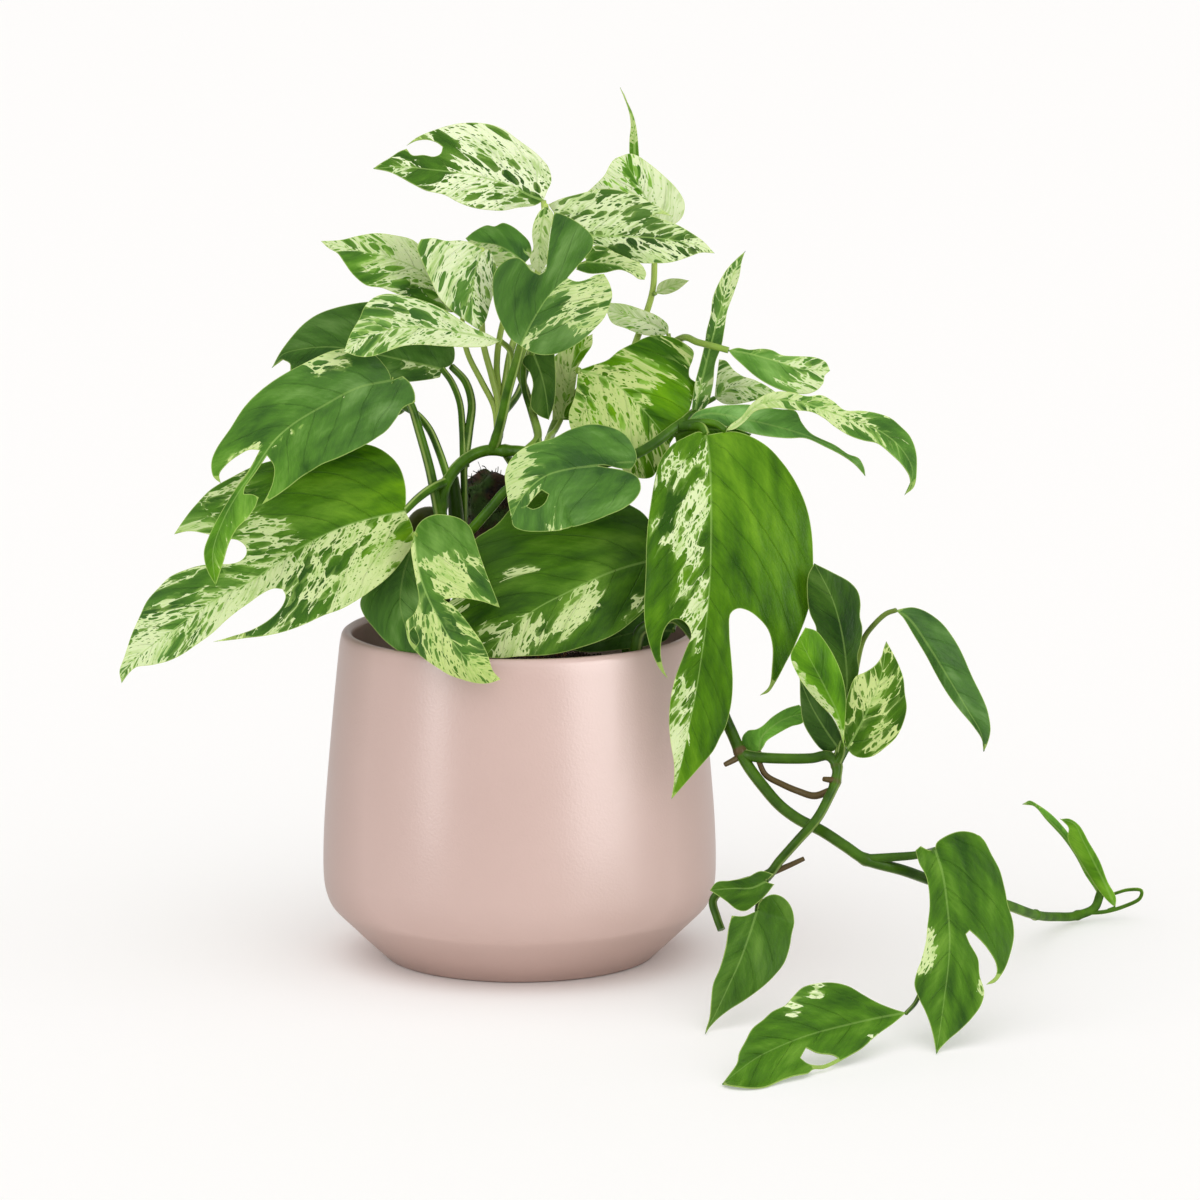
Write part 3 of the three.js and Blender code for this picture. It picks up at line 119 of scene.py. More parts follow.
# Turns points and faces, or edges, into a mesh object at the origin.
def newObject(name, points, faces, material=None, smooth=True, edges=()):
    mesh = bpy.data.meshes.new(name)
    mesh.from_pydata([tuple(p) for p in points], edges, [tuple(int(i) for i in f) for f in faces])
    if material:
        mesh.materials.append(material)
    mesh.polygons.foreach_set('use_smooth', [smooth] * len(mesh.polygons))
    obj = bpy.data.objects.new(name, mesh)
    bpy.context.scene.collection.objects.link(obj)
    return obj


def setAttribute(mesh, name, values):
    values = np.ascontiguousarray(values, np.float32)
    kind, field = ('FLOAT_VECTOR', 'vector') if values.ndim == 2 else ('FLOAT', 'value')
    mesh.attributes.new(name, kind, 'POINT').data.foreach_set(field, values.ravel())


# Rides on the plant and stands for its CAD node, which it hides.
def finishPiece(obj, node):
    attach(obj, 'root')
    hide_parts(node)


# A curve through points, drawn in steps of about the given length.
def smoothRun(points, step):
    p = np.asarray(points, float)
    if len(p) < 2:
        return p
    if len(p) == 2:
        count = max(1, round(np.linalg.norm(p[1] - p[0]) / step))
        return p[0] + (p[1] - p[0]) * np.linspace(0, 1, count + 1)[:, None]
    p = np.vstack([2 * p[0] - p[1], p, 2 * p[-1] - p[-2]])
    gaps = np.maximum(np.linalg.norm(np.diff(p, axis=0), axis=1), 1e-6) ** 0.5
    knots = np.concatenate([[0], np.cumsum(gaps)])
    drawn = [p[1]]
    for i in range(1, len(p) - 2):
        count = max(1, math.ceil(np.linalg.norm(p[i + 1] - p[i]) / step))
        for t in np.linspace(knots[i], knots[i + 1], count + 1)[1:]:
            a = [((knots[j + 1] - t) * p[j] + (t - knots[j]) * p[j + 1]) / (knots[j + 1] - knots[j])
                 for j in (i - 1, i, i + 1)]
            b = [((knots[j + 2] - t) * a[k] + (t - knots[j]) * a[k + 1]) / (knots[j + 2] - knots[j])
                 for k, j in ((0, i - 1), (1, i))]
            drawn.append(((knots[i + 1] - t) * b[0] + (t - knots[i]) * b[1]) / (knots[i + 1] - knots[i]))
    return np.array(drawn)


# The same, but it keeps a corner where the line turns by more degrees than that, as at tips and lobes.
def cutRun(points, step, sharpTurn=58):
    p = np.asarray(points, float)
    d = np.diff(p, axis=0)
    heading = np.degrees(np.arctan2(d[:, 1], d[:, 0]))
    turn = np.abs((np.diff(heading) + 180) % 360 - 180)
    stops = [0] + [i + 1 for i in range(len(turn)) if turn[i] > sharpTurn] + [len(p) - 1]
    drawn = [p[:1]]
    for a, b in zip(stops[:-1], stops[1:]):
        drawn.append(smoothRun(p[a:b + 1], step)[1:])
    return np.vstack(drawn)


# Says which points lie inside the outline and outside its holes.
def insideOutline(points, outline, holes=()):
    x, y = points[:, 0:1], points[:, 1:2]
    ax, ay = outline[:, 0], outline[:, 1]
    bx, by = np.roll(ax, -1), np.roll(ay, -1)
    crosses = ((ay > y) != (by > y)) & (x < (bx - ax) * (y - ay) / (by - ay + 1e-12) + ax)
    inside = crosses.sum(1) % 2 == 1
    for hole in holes:
        inside &= ~insideOutline(points, hole)
    return inside


# How far each point is from the nearest of the others, worked out a batch at a time.
def gapTo(points, others, batch=1500):
    return np.concatenate([np.sqrt(((points[i:i + batch, None] - others[None]) ** 2).sum(2)).min(1)
                           for i in range(0, len(points), batch)])


# The nearest place on a drawn line: the way along it, the distance, and whatever else it carries.
def nearestOn(line, points, carried=None, batch=2000):
    a, b = line[:-1], line[1:]
    span = b - a
    length = np.linalg.norm(span, axis=1)
    start = np.concatenate([[0], np.cumsum(length)])[:-1]
    along, gap, extra = (np.zeros(len(points)) for _ in range(3))
    for i in range(0, len(points), batch):
        q = points[i:i + batch, None, :] - a[None]
        t = np.clip((q * span).sum(2) / (length ** 2 + 1e-12), 0, 1)
        away = np.linalg.norm(q - t[..., None] * span, axis=2)
        best = away.argmin(1)
        rows = np.arange(len(best))
        along[i:i + batch] = start[best] + t[rows, best] * length[best]
        gap[i:i + batch] = away[rows, best]
        if carried is not None:
            extra[i:i + batch] = carried[best] + t[rows, best] * (carried[best + 1] - carried[best])
    return along, gap, extra


# Pothos leaf: living tissue under a thin waxy cuticle. Gives a soft satin gloss, green that glows a
# little where light comes through, and oval green islands in the cream that lie along the side veins.
# Its greens also carry painted light: the cool grey-greens are a painted sheen and the vivid greens a
# painted glow of light through the blade.
# Patterns are sized in millimetres, up the leaf and out along a side vein. An island's reach is its
# radius, spread how much that varies, and shrink how much of it is lost where the leaf is all cream.
# glossy and dull are the least and greatest roughness.
leafPaint = {
    'coolDeep': '#2c4c20', 'coolGreen': '#456c2b', 'coolLight': '#789a5c',
    'freshDeep': '#234601', 'freshGreen': '#426c00', 'freshLight': '#6a9606',
    'cream': '#a4b679', 'warmCream': '#a0b24e', 'whiteCream': '#d3dab9', 'creamStreak': '#86a550',
    'veinGreen': '#87a656', 'rimGreen': '#a9bd68', 'glossy': 0.31, 'dull': 0.43, 'gloss': 0.1,
    'bend': (5, 9), 'blotch': (14, 30), 'streak': (0.8, 9), 'cloud': (9, 12), 'net': (1.2, 2.6),
    'islands': [
        {'size': (3.8, 8.5), 'shift': 2.1, 'reach': 0.92, 'spread': 0.65, 'shrink': 0.98, 'weight': 1.0},
        {'size': (1.8, 3.8), 'shift': 5.7, 'reach': 0.5, 'spread': 0.7, 'shrink': 0.62, 'weight': 0.8},
        {'size': (0.95, 1.6), 'shift': 9.2, 'reach': 0.3, 'spread': 0.75, 'shrink': 0.35, 'weight': 0.6}]}


def makeLeafMaterial(paint, veinGap):
    material, add, tint = newMaterial('pothosLeaf', paint)
    flow, place, halves, tone = (add('Attribute', attribute_name=name)['Vector']
                                 for name in ('veinFlow', 'leafPlace', 'creamHalves', 'leafTone'))
    white = add('Attribute', attribute_name='creamWhite')['Fac']
    veinWay = add('SeparateXYZ', {0: flow})[0]
    way, across, rim = add('SeparateXYZ', {0: place})
    creamA, creamB, patches = add('SeparateXYZ', {0: halves})
    fresh, warm, bright = add('SeparateXYZ', {0: tone})

    # a texture of any kind, stretched to its size along the side veins
    def pattern(kind, vector, size, shift=0.0, inputs=None, **settings):
        spread = add('VectorMath', {0: vector, 1: (1 / size[0], 1 / size[1], 1), 2: (shift, shift, shift)},
                     operation='MULTIPLY_ADD')[0]
        return add(kind, {'Vector': spread, 'Scale': 1.0, **(inputs or {})}, **settings)

    # it wanders a little, so that no island is a true oval
    bend = pattern('TexNoise', flow, paint['bend'], 0.0, {'Detail': 1.5, 'Roughness': 0.4})['Color']
    bent = add('VectorMath', {0: bend, 1: (4.0, 6.0, 0.0), 2: flow}, operation='MULTIPLY_ADD')[0]
    blotch = pattern('TexNoise', bent, paint['blotch'], 0.0, {'Detail': 1.0, 'Roughness': 0.4})['Fac']
    streak = pattern('TexNoise', bent, paint['streak'], 7.3, {'Detail': 2.0, 'Roughness': 0.5})['Fac']
    cloud = pattern('TexNoise', flow, paint['cloud'], 5.0, {'Detail': 3.0, 'Roughness': 0.5})['Fac']

    # how creamy it is here: nought is plain green, one is plain cream
    onFirst = add('Math', {0: across, 1: 0.0}, operation='GREATER_THAN')[0]
    half = add('Mix', {0: onFirst, 2: creamB, 3: creamA}, data_type='FLOAT')[0]
    share = add('Math', {0: half, 1: patches}, operation='ADD')[0]
    wander = add('Math', {0: blotch, 1: 1.7, 2: -0.85}, operation='MULTIPLY_ADD')[0]
    wanderShare = add('MapRange', {0: share, 1: -0.05, 2: 0.35, 3: 0.2, 4: 1.0})[0]
    creamy = add('Math', {0: wander, 1: wanderShare, 2: share}, operation='MULTIPLY_ADD')[0]

    # green islands of three sizes round scattered points: the creamier it is, the smaller they are
    inIsland, islandTones = -9.0, []
    for island in paint['islands']:
        spot = pattern('TexVoronoi', bent, island['size'], island['shift'], voronoi_dimensions='2D')
        chance = add('SeparateColor', {0: spot['Color']})
        islandTones.append(chance[1])
        least = island['reach'] - island['spread'] / 2
        radius = add('Math', {0: chance[0], 1: island['spread'], 2: least}, operation='MULTIPLY_ADD')[0]
        radius = add('Math', {0: creamy, 1: -island['shrink'], 2: radius}, operation='MULTIPLY_ADD')[0]
        inside = add('Math', {0: radius, 1: spot['Distance']}, operation='SUBTRACT')[0]
        inside = add('Math', {0: inside, 1: island['weight']}, operation='MULTIPLY')[0]
        inIsland = add('Math', {0: inside, 1: inIsland}, operation='MAXIMUM')[0]
    green = add('MapRange', {0: creamy, 1: 0.4, 2: -0.05, 3: 0.0, 4: 0.5})[0]
    green = add('Math', {0: inIsland, 1: green}, operation='ADD')[0]
    frayed = add('Math', {0: streak, 1: 0.12, 2: green}, operation='MULTIPLY_ADD')[0]
    creamMask = add('MapRange', {0: frayed, 1: 0.04, 2: 0.08, 3: 1.0, 4: 0.0})[0]

    # greens by leaf, from cool grey-green with painted sheen to vivid green with a painted glow of light
    # through the blade; darker along the side veins, partly painted shade in their valleys; cloudy, the
    # clouds partly painted shading of the blade's curves; finely streaked between the veins
    phase = add('Math', {0: cloud, 1: 2.5, 2: -1.25}, operation='MULTIPLY_ADD')[0]
    phase = add('Math', {0: veinWay, 1: phase}, operation='ADD')[0]
    phase = add('Math', {0: phase, 1: veinGap / 2}, operation='PINGPONG')[0]
    between = add('MapRange', {0: phase, 1: 0.0, 2: veinGap / 2})[0]
    depth = -(1.5 + 1.1 + 0.1 + 0.35) / 2
    for part, amount in ((cloud, 1.5), (blotch, 1.1), (between, 0.1), (streak, 0.35)):
        depth = add('Math', {0: part, 1: amount, 2: depth}, operation='MULTIPLY_ADD')[0]
    deepTone, midTone, lightTone = (
        add('Mix', {0: fresh, 6: tint['cool' + key], 7: tint['fresh' + key]}, data_type='RGBA')[2]
        for key in ('Deep', 'Green', 'Light'))
    toMid = add('MapRange', {0: depth, 1: -0.45, 2: 0.05})[0]
    toLight = add('MapRange', {0: depth, 1: 0.05, 2: 0.6, 3: 0.0, 4: 0.75})[0]
    paleIsland = add('MapRange', {0: islandTones[1], 1: 0.3, 2: 0.9, 3: 0.0, 4: 0.7})[0]
    for value, low, high in ((green, 0.35, 0.0), (share, 0.0, 0.4)):
        nearCream = add('MapRange', {0: value, 1: low, 2: high})[0]
        paleIsland = add('Math', {0: paleIsland, 1: nearCream}, operation='MULTIPLY')[0]
    colour = deepTone
    for amount, laid in ((toMid, midTone), (toLight, lightTone), (paleIsland, tint['creamStreak'])):
        colour = add('Mix', {0: amount, 6: colour, 7: laid}, data_type='RGBA')[2]
    colour = add('VectorMath', {0: colour, 'Scale': bright}, operation='SCALE')[0]

    # cream: yellower or whiter by leaf, with soft green streaks
    streaky = add('Math', {0: cloud, 1: streak}, operation='ADD')[0]
    streaky = add('MapRange', {0: streaky, 1: 0.95833, 2: 1.29167, 3: 0.0, 4: 0.75})[0]
    cream = tint['cream']
    for amount, laid in ((warm, 'warmCream'), (white, 'whiteCream'), (streaky, 'creamStreak')):
        cream = add('Mix', {0: amount, 6: cream, 7: tint[laid]}, data_type='RGBA')[2]

    # a pale midrib that thins to the tip, side veins only a shade deeper, and a pale thin rim
    ribMask = add('Math', {0: across}, operation='ABSOLUTE')[0]
    ribWidth = add('MapRange', {0: way, 1: 0.0, 2: 1.0, 3: 0.5, 4: 0.1})[0]
    ribMask = add('Math', {0: ribWidth, 1: ribMask}, operation='SUBTRACT')[0]
    ribMask = add('MapRange', {0: ribMask, 1: -0.15, 2: 0.1})[0]
    ribShare = add('MapRange', {0: share, 1: 0.0, 2: 0.5, 3: 0.3, 4: 0.6})[0]
    ribShare = add('Math', {0: ribMask, 1: ribShare}, operation='MULTIPLY')[0]
    veinMask = add('MapRange', {0: phase, 1: 0.05, 2: 0.3, 3: 1.0, 4: 0.0})[0]
    offRim = add('MapRange', {0: rim, 1: 0.5, 2: 6.0})[0]
    veinMask = add('Math', {0: veinMask, 1: offRim}, operation='MULTIPLY')[0]
    veinShare = add('MapRange', {0: creamMask, 1: 0.0, 2: 1.0, 3: 0.22, 4: 0.1})[0]
    veinShare = add('Math', {0: veinMask, 1: veinShare}, operation='MULTIPLY')[0]
    rimShare = add('MapRange', {0: rim, 1: 0.1, 2: 0.4, 3: 0.5, 4: 0.0})[0]
    for amount, laid in ((creamMask, cream), (veinShare, deepTone), (ribShare, tint['veinGreen']),
                         (rimShare, tint['rimGreen'])):
        colour = add('Mix', {0: amount, 6: colour, 7: laid}, data_type='RGBA')[2]

    # fine net of veins and pores, about a millimetre across, under the side veins and the soft clouds
    net = pattern('TexVoronoi', flow, paint['net'], feature='DISTANCE_TO_EDGE')['Distance']
    height = add('MapRange', {0: net, 1: 0.0, 2: 0.12, 3: 0.0, 4: 0.05})[0]
    for part, amount in ((veinMask, -0.3), (cloud, 0.9)):
        height = add('Math', {0: part, 1: amount, 2: height}, operation='MULTIPLY_ADD')[0]
    bump = add('Bump', {'Height': height, 'Distance': 0.0015, 'Strength': 0.6})[0]
    rough = add('MapRange', {0: cloud, 1: 0.3, 2: 0.7, 3: paint['glossy'], 4: paint['dull']})[0]
    shader = add('BsdfPrincipled', {
        'Base Color': colour, 'Roughness': rough, 'IOR': 1.45, 'Specular IOR Level': paint['gloss'],
        'Normal': bump, 'Subsurface Weight': 0.1, 'Subsurface Radius': (0.6, 1.0, 0.25),
        'Subsurface Scale': 0.002})[0]
    add('OutputMaterial', {'Surface': shader})
    return material


# The sheet of every leaf, in millimetres. veinSlant is how far a side vein leans towards the tip, at the
# joint and at the tip; thinRim is the share of the thickness at the rim; each fade is how far from the
# midrib, joint or rim a relief needs to reach its full height; a small leaf has a finer grid, down to half.
leafSheet = {'thickness': 0.6, 'thinRim': 0.55, 'rimWidth': 1.2, 'clearance': 0.4,
             'veinSlant': (0.8, 1.7), 'veinArch': 0.004, 'veinGap': 8.5,
             'quilt': 0.24, 'quiltPower': 0.7, 'ribFade': 4, 'rimFade': 3, 'groove': 0.35, 'grooveWidth': 1.1,
             'wave': 0.7, 'waveLength': 34, 'waveReach': 5, 'waveFade': 8, 'waveShift': 2.1,
             'grid': 1.5, 'smallLeaf': 60, 'outlineStep': 0.8, 'patternShift': 31, 'seedStep': 3.7}
leafMaterial = makeLeafMaterial(leafPaint, leafSheet['veinGap'])

# Midribs and margins run from joint to tip; form is how far a half tilts and curls away behind its midrib.
# Then come the leaf's markings and painted light, where they aren't plain. cream: how creamy each half
# is at the joint and at the tip; patches: [right, up, radius, more or less cream]; fresh: nought is
# cool green, a painted sheen, one is vivid green, a painted glow of light through it; warm: how yellow its
# cream is; white: how white; bright: how light its green is, raised on some leaves to paint their sheen.
# Where a pair stands for one value, it is that at the joint and at the tip.
plainLeaf = {'cream': [(-0.1, -0.1), (-0.1, -0.1)], 'patches': [], 'fresh': 0.5, 'warm': 0.2, 'white': 0.3,
             'bright': 1.0}
leaves = {
    'leaf_top_left': {'rib': [[10.5, 327, 0], [5, 329, -1], [-3, 333, -3], [-12, 336, -5], [-24, 338.6, -7],
      [-38, 340.3, -9], [-50, 341.5, -9], [-62.8, 340.8, -8]],
      'halves': [{'form': [0.45, 0.004], 'margin': [[12, 331], [13.7, 335], [12.5, 341], [8, 347], [0, 353],
        [-8, 358], [-17, 360], [-27, 360], [-34, 358.3], [-40, 356], [-44.5, 353.6], [-48.3, 350.4],
        [-44, 352.6], [-39, 353.2], [-35, 352], [-32.8, 350.3], [-33.6, 347.4], [-36.5, 346], [-41, 346.6],
        [-46, 346.4], [-48.3, 349], [-51.5, 347.8], [-55.5, 345.2], [-59.5, 343]]},
        {'form': [-0.5, 0], 'margin': [[7, 325], [0, 324], [-8, 322.5], [-18, 323.5], [-25, 326],
        [-32, 329.5], [-40, 331], [-46, 334], [-51, 337], [-55.5, 339.2]]}],
      'cream': [(0.95, 0.4), (0.75, 0.35)], 'patches': [(-34, 343, 9, -0.35)], 'fresh': 0.6, 'warm': 0.1,
      'white': 0.8, 'bright': 0.85},
    'leaf_top_right': {'rib': [[24, 313, -5], [32, 311.9, -6], [45, 311.6, -9], [58, 310.9, -12],
      [70, 309.3, -15], [78, 307.4, -17], [84, 304.5, -19]],
      'halves': [{'form': [0.5, 0.004], 'margin': [[17, 319], [12.5, 325.3], [18, 328], [26, 330],
        [34, 331.4], [41, 331.5], [50, 329.6], [58, 325.5], [65.8, 320], [60, 321.4], [56.5, 320.6],
        [62, 318.6], [68, 316.3], [74, 313], [79, 309.6]]},
        {'form': [-0.4, 0], 'margin': [[28, 309.5], [35, 306.8], [40, 303.7], [46, 301.3], [52, 300],
        [58, 299.8], [65, 300.4], [72, 302.6], [78, 304.6]]}],
      'cream': [(0.82, 0.8), (0.85, 0.85)], 'patches': [(52, 322, 8, -0.45), (44, 305, 6, -0.3)],
      'fresh': 0.35, 'warm': 0.1, 'white': 0.5, 'bright': 0.72},
    'leaf_back_top': {'rib': [[60, 318, 20], [54, 329, 21], [49, 338, 22], [44, 346.2, 23]],
      'halves': [{'form': [-0.15, 0], 'margin': [[50, 317], [38, 322], [27.5, 329], [33, 334], [37, 338.3],
        [38.6, 341.6], [41, 344.8]]},
        {'form': [0.4, 0], 'margin': [[66, 316.5], [70.4, 320], [71.2, 326], [68, 331.5], [62, 337.5],
        [57, 342], [51.2, 346.2], [47.5, 347.2]]}],
      'cream': [(0.85, 0.95), (1.35, 1.15)], 'patches': [(48, 338, 7, -0.5)], 'fresh': 0.8, 'warm': 0.2,
      'white': 0.65, 'bright': 1.7},
    'leaf_rolled': {'rib': [[49.6, 345, 27], [49.6, 352, 27], [49.4, 359, 26], [47.6, 366, 25],
      [45.6, 371, 24], [43.3, 375.4, 23]],
      'halves': [{'form': [0.8, 0], 'margin': [[48, 346], [47.6, 352.5], [48, 359.5], [46.9, 366]]},
        {'form': [0.8, 0], 'margin': [[51.5, 346], [51.2, 352], [50.4, 359], [48.7, 365]]}],
      'cream': [(0.5, 0.7), (0.5, 0.7)], 'fresh': 0.8, 'warm': 0.5, 'white': 0.2, 'bright': 1.3},
    'leaf_upright_strip': {'rib': [[11.5, 325, -11], [9.8, 317, -12], [9, 309, -13], [8.6, 302, -14],
      [8.6, 295.8, -15]],
      'halves': [{'form': [0.3, 0], 'margin': [[8.5, 322], [6.2, 317], [5.7, 312], [6.2, 306.5], [4.8, 303],
        [5.5, 299]]},
        {'form': [0.3, 0], 'margin': [[14.5, 321.5], [13.3, 314], [12.4, 306], [11.9, 300]]}],
      'cream': [(0.85, 0.9), (0.9, 0.9)], 'fresh': 0.5, 'warm': 0.4, 'white': 0.4},
    'leaf_under_top_right': {'rib': [[29, 300.5, -16], [36, 300, -17], [45, 298.3, -18], [50, 296, -18],
      [54, 293, -18]],
      'halves': [{'form': [0.3, 0], 'margin': [[28, 303.6], [31, 307], [36, 307.2], [42, 304.4], [48, 301.8],
        [52.6, 299.4], [54.6, 295.6]]},
        {'form': [-0.3, 0], 'margin': [[25.4, 299.4], [24.6, 297.2], [30.3, 295.6], [37, 296], [43.5, 297.2],
        [48, 295.6], [51.6, 293.2]]}],
      'cream': [(0.5, 0.85), (-0.1, 0.7)], 'fresh': 0.5, 'warm': 0.4, 'bright': 0.95},
    'leaf_upper_left': {'rib': [[-24, 279, -9], [-33, 287.5, -9], [-43, 297, -10], [-56, 302.6, -12],
      [-70, 305.5, -15], [-85, 309.6, -19]],
      'halves': [{'form': [0.45, 0], 'margin': [[-28, 286], [-36, 297], [-42, 307], [-46, 310.3], [-54, 312],
        [-62, 312.7], [-69, 311.8], [-77, 310]]},
        {'form': [-0.35, 0], 'margin': [[-30, 279], [-38, 282], [-45, 284.8], [-52, 286.6], [-59, 289.3],
        [-65.5, 290.6], [-71, 295], [-75, 300.2], [-78, 304.2], [-82, 306.6]]}],
      'cream': [(0.7, 0.75), (0.55, 0.6)], 'patches': [(-52, 295, 10, 0.15)], 'fresh': 0.6, 'warm': 0.2,
      'white': 0.4, 'bright': 1.2},
    'leaf_upper_middle': {'rib': [[-16, 306, -16], [-18.5, 298, -19], [-20, 290, -21], [-20, 281, -22],
      [-17.5, 271.5, -23]],
      'halves': [{'form': [-0.25, 0], 'margin': [[-20, 308.5], [-25, 309.8], [-31, 309.6], [-37, 310.8],
        [-42, 310.4], [-43.7, 307], [-41.5, 301], [-38, 293], [-34.5, 285.5], [-29.5, 280], [-24, 275.8]]},
        {'form': [0.3, 0], 'margin': [[-12.5, 306], [-10, 300], [-10.5, 291], [-12.5, 282], [-14.5, 275]]}],
      'cream': [(0.77, 0.75), (0.75, 0.6)], 'fresh': 0.3, 'warm': 0.1, 'white': 0.6, 'bright': 1.05},
    'leaf_crown_back': {'rib': [[2.5, 300, 5], [-4, 305, 5], [-10, 308, 5], [-17, 309, 5], [-23, 310.8, 5]],
      'halves': [{'form': [0.4, 0], 'margin': [[5.2, 303.5], [4.5, 308.5], [1, 312.6], [-3.2, 315.9],
        [-7, 317.3], [-10.5, 315.9], [-14, 316.4], [-19, 314]]},
        {'form': [-0.2, 0], 'margin': [[-2, 296], [-8, 298], [-14, 302], [-20, 307]]}],
      'cream': [(0.45, 0.3), (0.9, 0.8)], 'patches': [(-12, 313, 5, -0.4), (0, 313, 5, -0.4)], 'fresh': 0.1,
      'bright': 1.5},
    'leaf_left_marbled': {'rib': [[-8, 266.6, -24], [-18, 268.8, -26], [-30, 271, -29], [-45, 272.6, -33],
      [-60, 270.5, -37], [-69, 266.5, -40], [-75.3, 262, -42]],
      'halves': [{'form': [0.4, 0], 'margin': [[-13, 269.4], [-20, 272.3], [-27, 276.6], [-34, 280.8],
        [-41, 284], [-49, 286], [-57, 286.8], [-62.5, 285], [-66.5, 281], [-68.7, 276], [-72.5, 269.5]]},
        {'form': [-0.4, 0], 'margin': [[-13, 264.4], [-20, 263.8], [-30, 264.3], [-42, 265], [-50, 264.2],
        [-57, 262], [-63, 260.3], [-69, 260]]}],
      'cream': [(0.35, 0.6), (0.55, 0.8)], 'patches': [(-60, 274, 10, 0.25)], 'fresh': 0.25, 'warm': 0.1,
      'white': 0.5, 'bright': 1.1},
    'leaf_left_dark': {'rib': [[-33, 254.5, 4], [-48, 258, 4], [-63, 261.2, 3], [-80, 264, 2], [-94, 263, 0],
      [-102, 260.6, -2], [-106.4, 255, -3]],
      'halves': [{'form': [0.5, 0], 'margin': [[-28.6, 257], [-28.2, 264], [-35, 272], [-48, 279.5],
        [-60, 283], [-72, 282.4], [-85, 279], [-92, 274.5], [-98, 268], [-103.5, 260.5]]},
        {'form': [-0.2, 0], 'margin': [[-34, 251], [-37, 250.3], [-47, 249], [-60, 248], [-75, 248.5],
        [-88, 250.5], [-98, 254], [-98.6, 257], [-101.5, 258.5]]}],
      'cream': [(0, 0), (0.25, 0)], 'patches': [(-40, 250, 8, 0.4)], 'fresh': 0.2, 'bright': 0.85},
    'leaf_left_large': {'rib': [[-55, 249.6, -32], [-69, 246.6, -37], [-84, 238.8, -44], [-97, 231, -50],
      [-105, 224, -56], [-109.4, 218, -60], [-114.6, 210, -64], [-120.6, 201.5, -69], [-127.2, 189.5, -74],
      [-131.6, 176, -78], [-130.6, 161.4, -80]],
      'halves': [{'form': [0.3, 0], 'margin': [[-55.4, 252], [-58, 256.5], [-63, 261.2], [-70, 263.2],
        [-80, 262.2], [-90, 258.2], [-100, 253], [-110, 246], [-118, 238.3], [-124, 229.5], [-130, 220.5],
        [-132.3, 214], [-131.4, 208], [-128.2, 205.2], [-128.8, 209], [-126, 213], [-121.5, 217],
        [-116, 220], [-111.5, 219.8], [-116.4, 210.8], [-122.2, 202.5], [-128.4, 192.5], [-133, 183.5],
        [-135.4, 176], [-134.2, 168.5]]},
        {'form': [-0.35, 0], 'margin': [[-50, 251.5], [-47, 248.6], [-45, 244], [-44.8, 240.3], [-49.5, 238],
        [-53, 233], [-57, 228], [-62, 224.5], [-70, 220], [-78, 216], [-86, 213], [-93, 208.5], [-99, 203.5],
        [-105, 199.4], [-110.4, 196.6], [-107.8, 200.8], [-105.6, 206.5], [-105.4, 212.5], [-108.4, 217.4],
        [-113.6, 209.6], [-118, 203.4], [-118.4, 200.8], [-114.6, 200.6], [-112, 199.4], [-113.6, 195.4],
        [-117, 190.6], [-121.4, 185.6], [-124.6, 179.4], [-127.2, 171.6], [-129.2, 165.6]]}],
      # the row of small patches from (-106, 222.6) to (-90, 232.2) is a painted highlight along a fold, drawn
      # in cream
      'cream': [(0, 0.15), (0, 0.1)], 'patches': [(-87, 257, 7, 0.8), (-76, 259.5, 6, 0.75),
      (-106, 222.6, 2.4, 0.8), (-102, 225, 2.2, 0.7), (-98, 227.4, 2, 0.7), (-94, 229.8, 2, 0.6),
      (-90, 232.2, 1.8, 0.5), (-118, 217.5, 3.6, 1.1), (-112.5, 220.6, 3.2, 1.1), (-122.5, 213.6, 3.4, 0.9),
      (-124, 190, 8, 0.1), (-131, 172, 8, 0.25)], 'fresh': (0, 0.9), 'warm': (0.3, 1),
      'bright': (0.9, 1.35)},
    'leaf_left_front': {'rib': [[-49, 193.5, -44], [-60, 191.2, -46], [-75, 187, -50], [-90, 180, -54],
      [-104, 171, -58], [-116, 163, -62], [-128, 157, -66], [-140, 149, -70], [-152, 140, -74],
      [-162, 132.6, -78], [-168.6, 126, -81], [-171, 119.6, -83]],
      'halves': [{'form': [0.3, 0.003], 'margin': [[-48.6, 198], [-49, 205], [-51.5, 212.5], [-56.5, 218],
        [-62, 221.3], [-67, 222.4], [-78, 220.5], [-92, 218], [-105, 215.6], [-115, 212.6], [-125, 207],
        [-133, 202], [-140, 195.3], [-145, 188.5], [-148.2, 183.4], [-142, 184.9], [-134, 183.8],
        [-126.5, 181.8], [-120.5, 180.6], [-117.4, 177.6], [-117.4, 174.6], [-119.6, 172.2], [-124, 170.9],
        [-130, 170.8], [-137, 170], [-144, 167.7], [-150, 165], [-155, 160.5], [-160, 155], [-163.2, 148],
        [-166.6, 140], [-169.6, 131], [-171.8, 124.5]]},
        {'form': [-0.3, 0], 'margin': [[-46, 187], [-45.6, 180], [-49, 174], [-53, 168.5], [-58, 163.5],
        [-64, 159], [-70, 155], [-77, 151], [-84, 148.5], [-92, 145], [-100, 142], [-108, 140],
        [-118, 138.6], [-131.6, 137.4], [-124, 139.4], [-117, 141.4], [-110, 145], [-105, 149],
        [-101.6, 153.2], [-100.4, 157.2], [-101.8, 160], [-105.5, 160.3], [-110.5, 158], [-116, 154],
        [-121, 150.4], [-126, 146.4], [-132, 141], [-138, 136.6], [-145, 131.6], [-151, 128.8],
        [-158, 127.3], [-164.6, 126.4], [-168, 123.6]]}],
      'cream': [(-0.1, 0.8), (0.75, 0.65)], 'patches': [(-50, 182, 5, -0.6), (-78, 205, 18, -0.5),
      (-108, 178, 12, 0.35), (-154, 146, 12, 0.1), (-84, 162, 12, 0.3), (-125, 204, 10, 0.3),
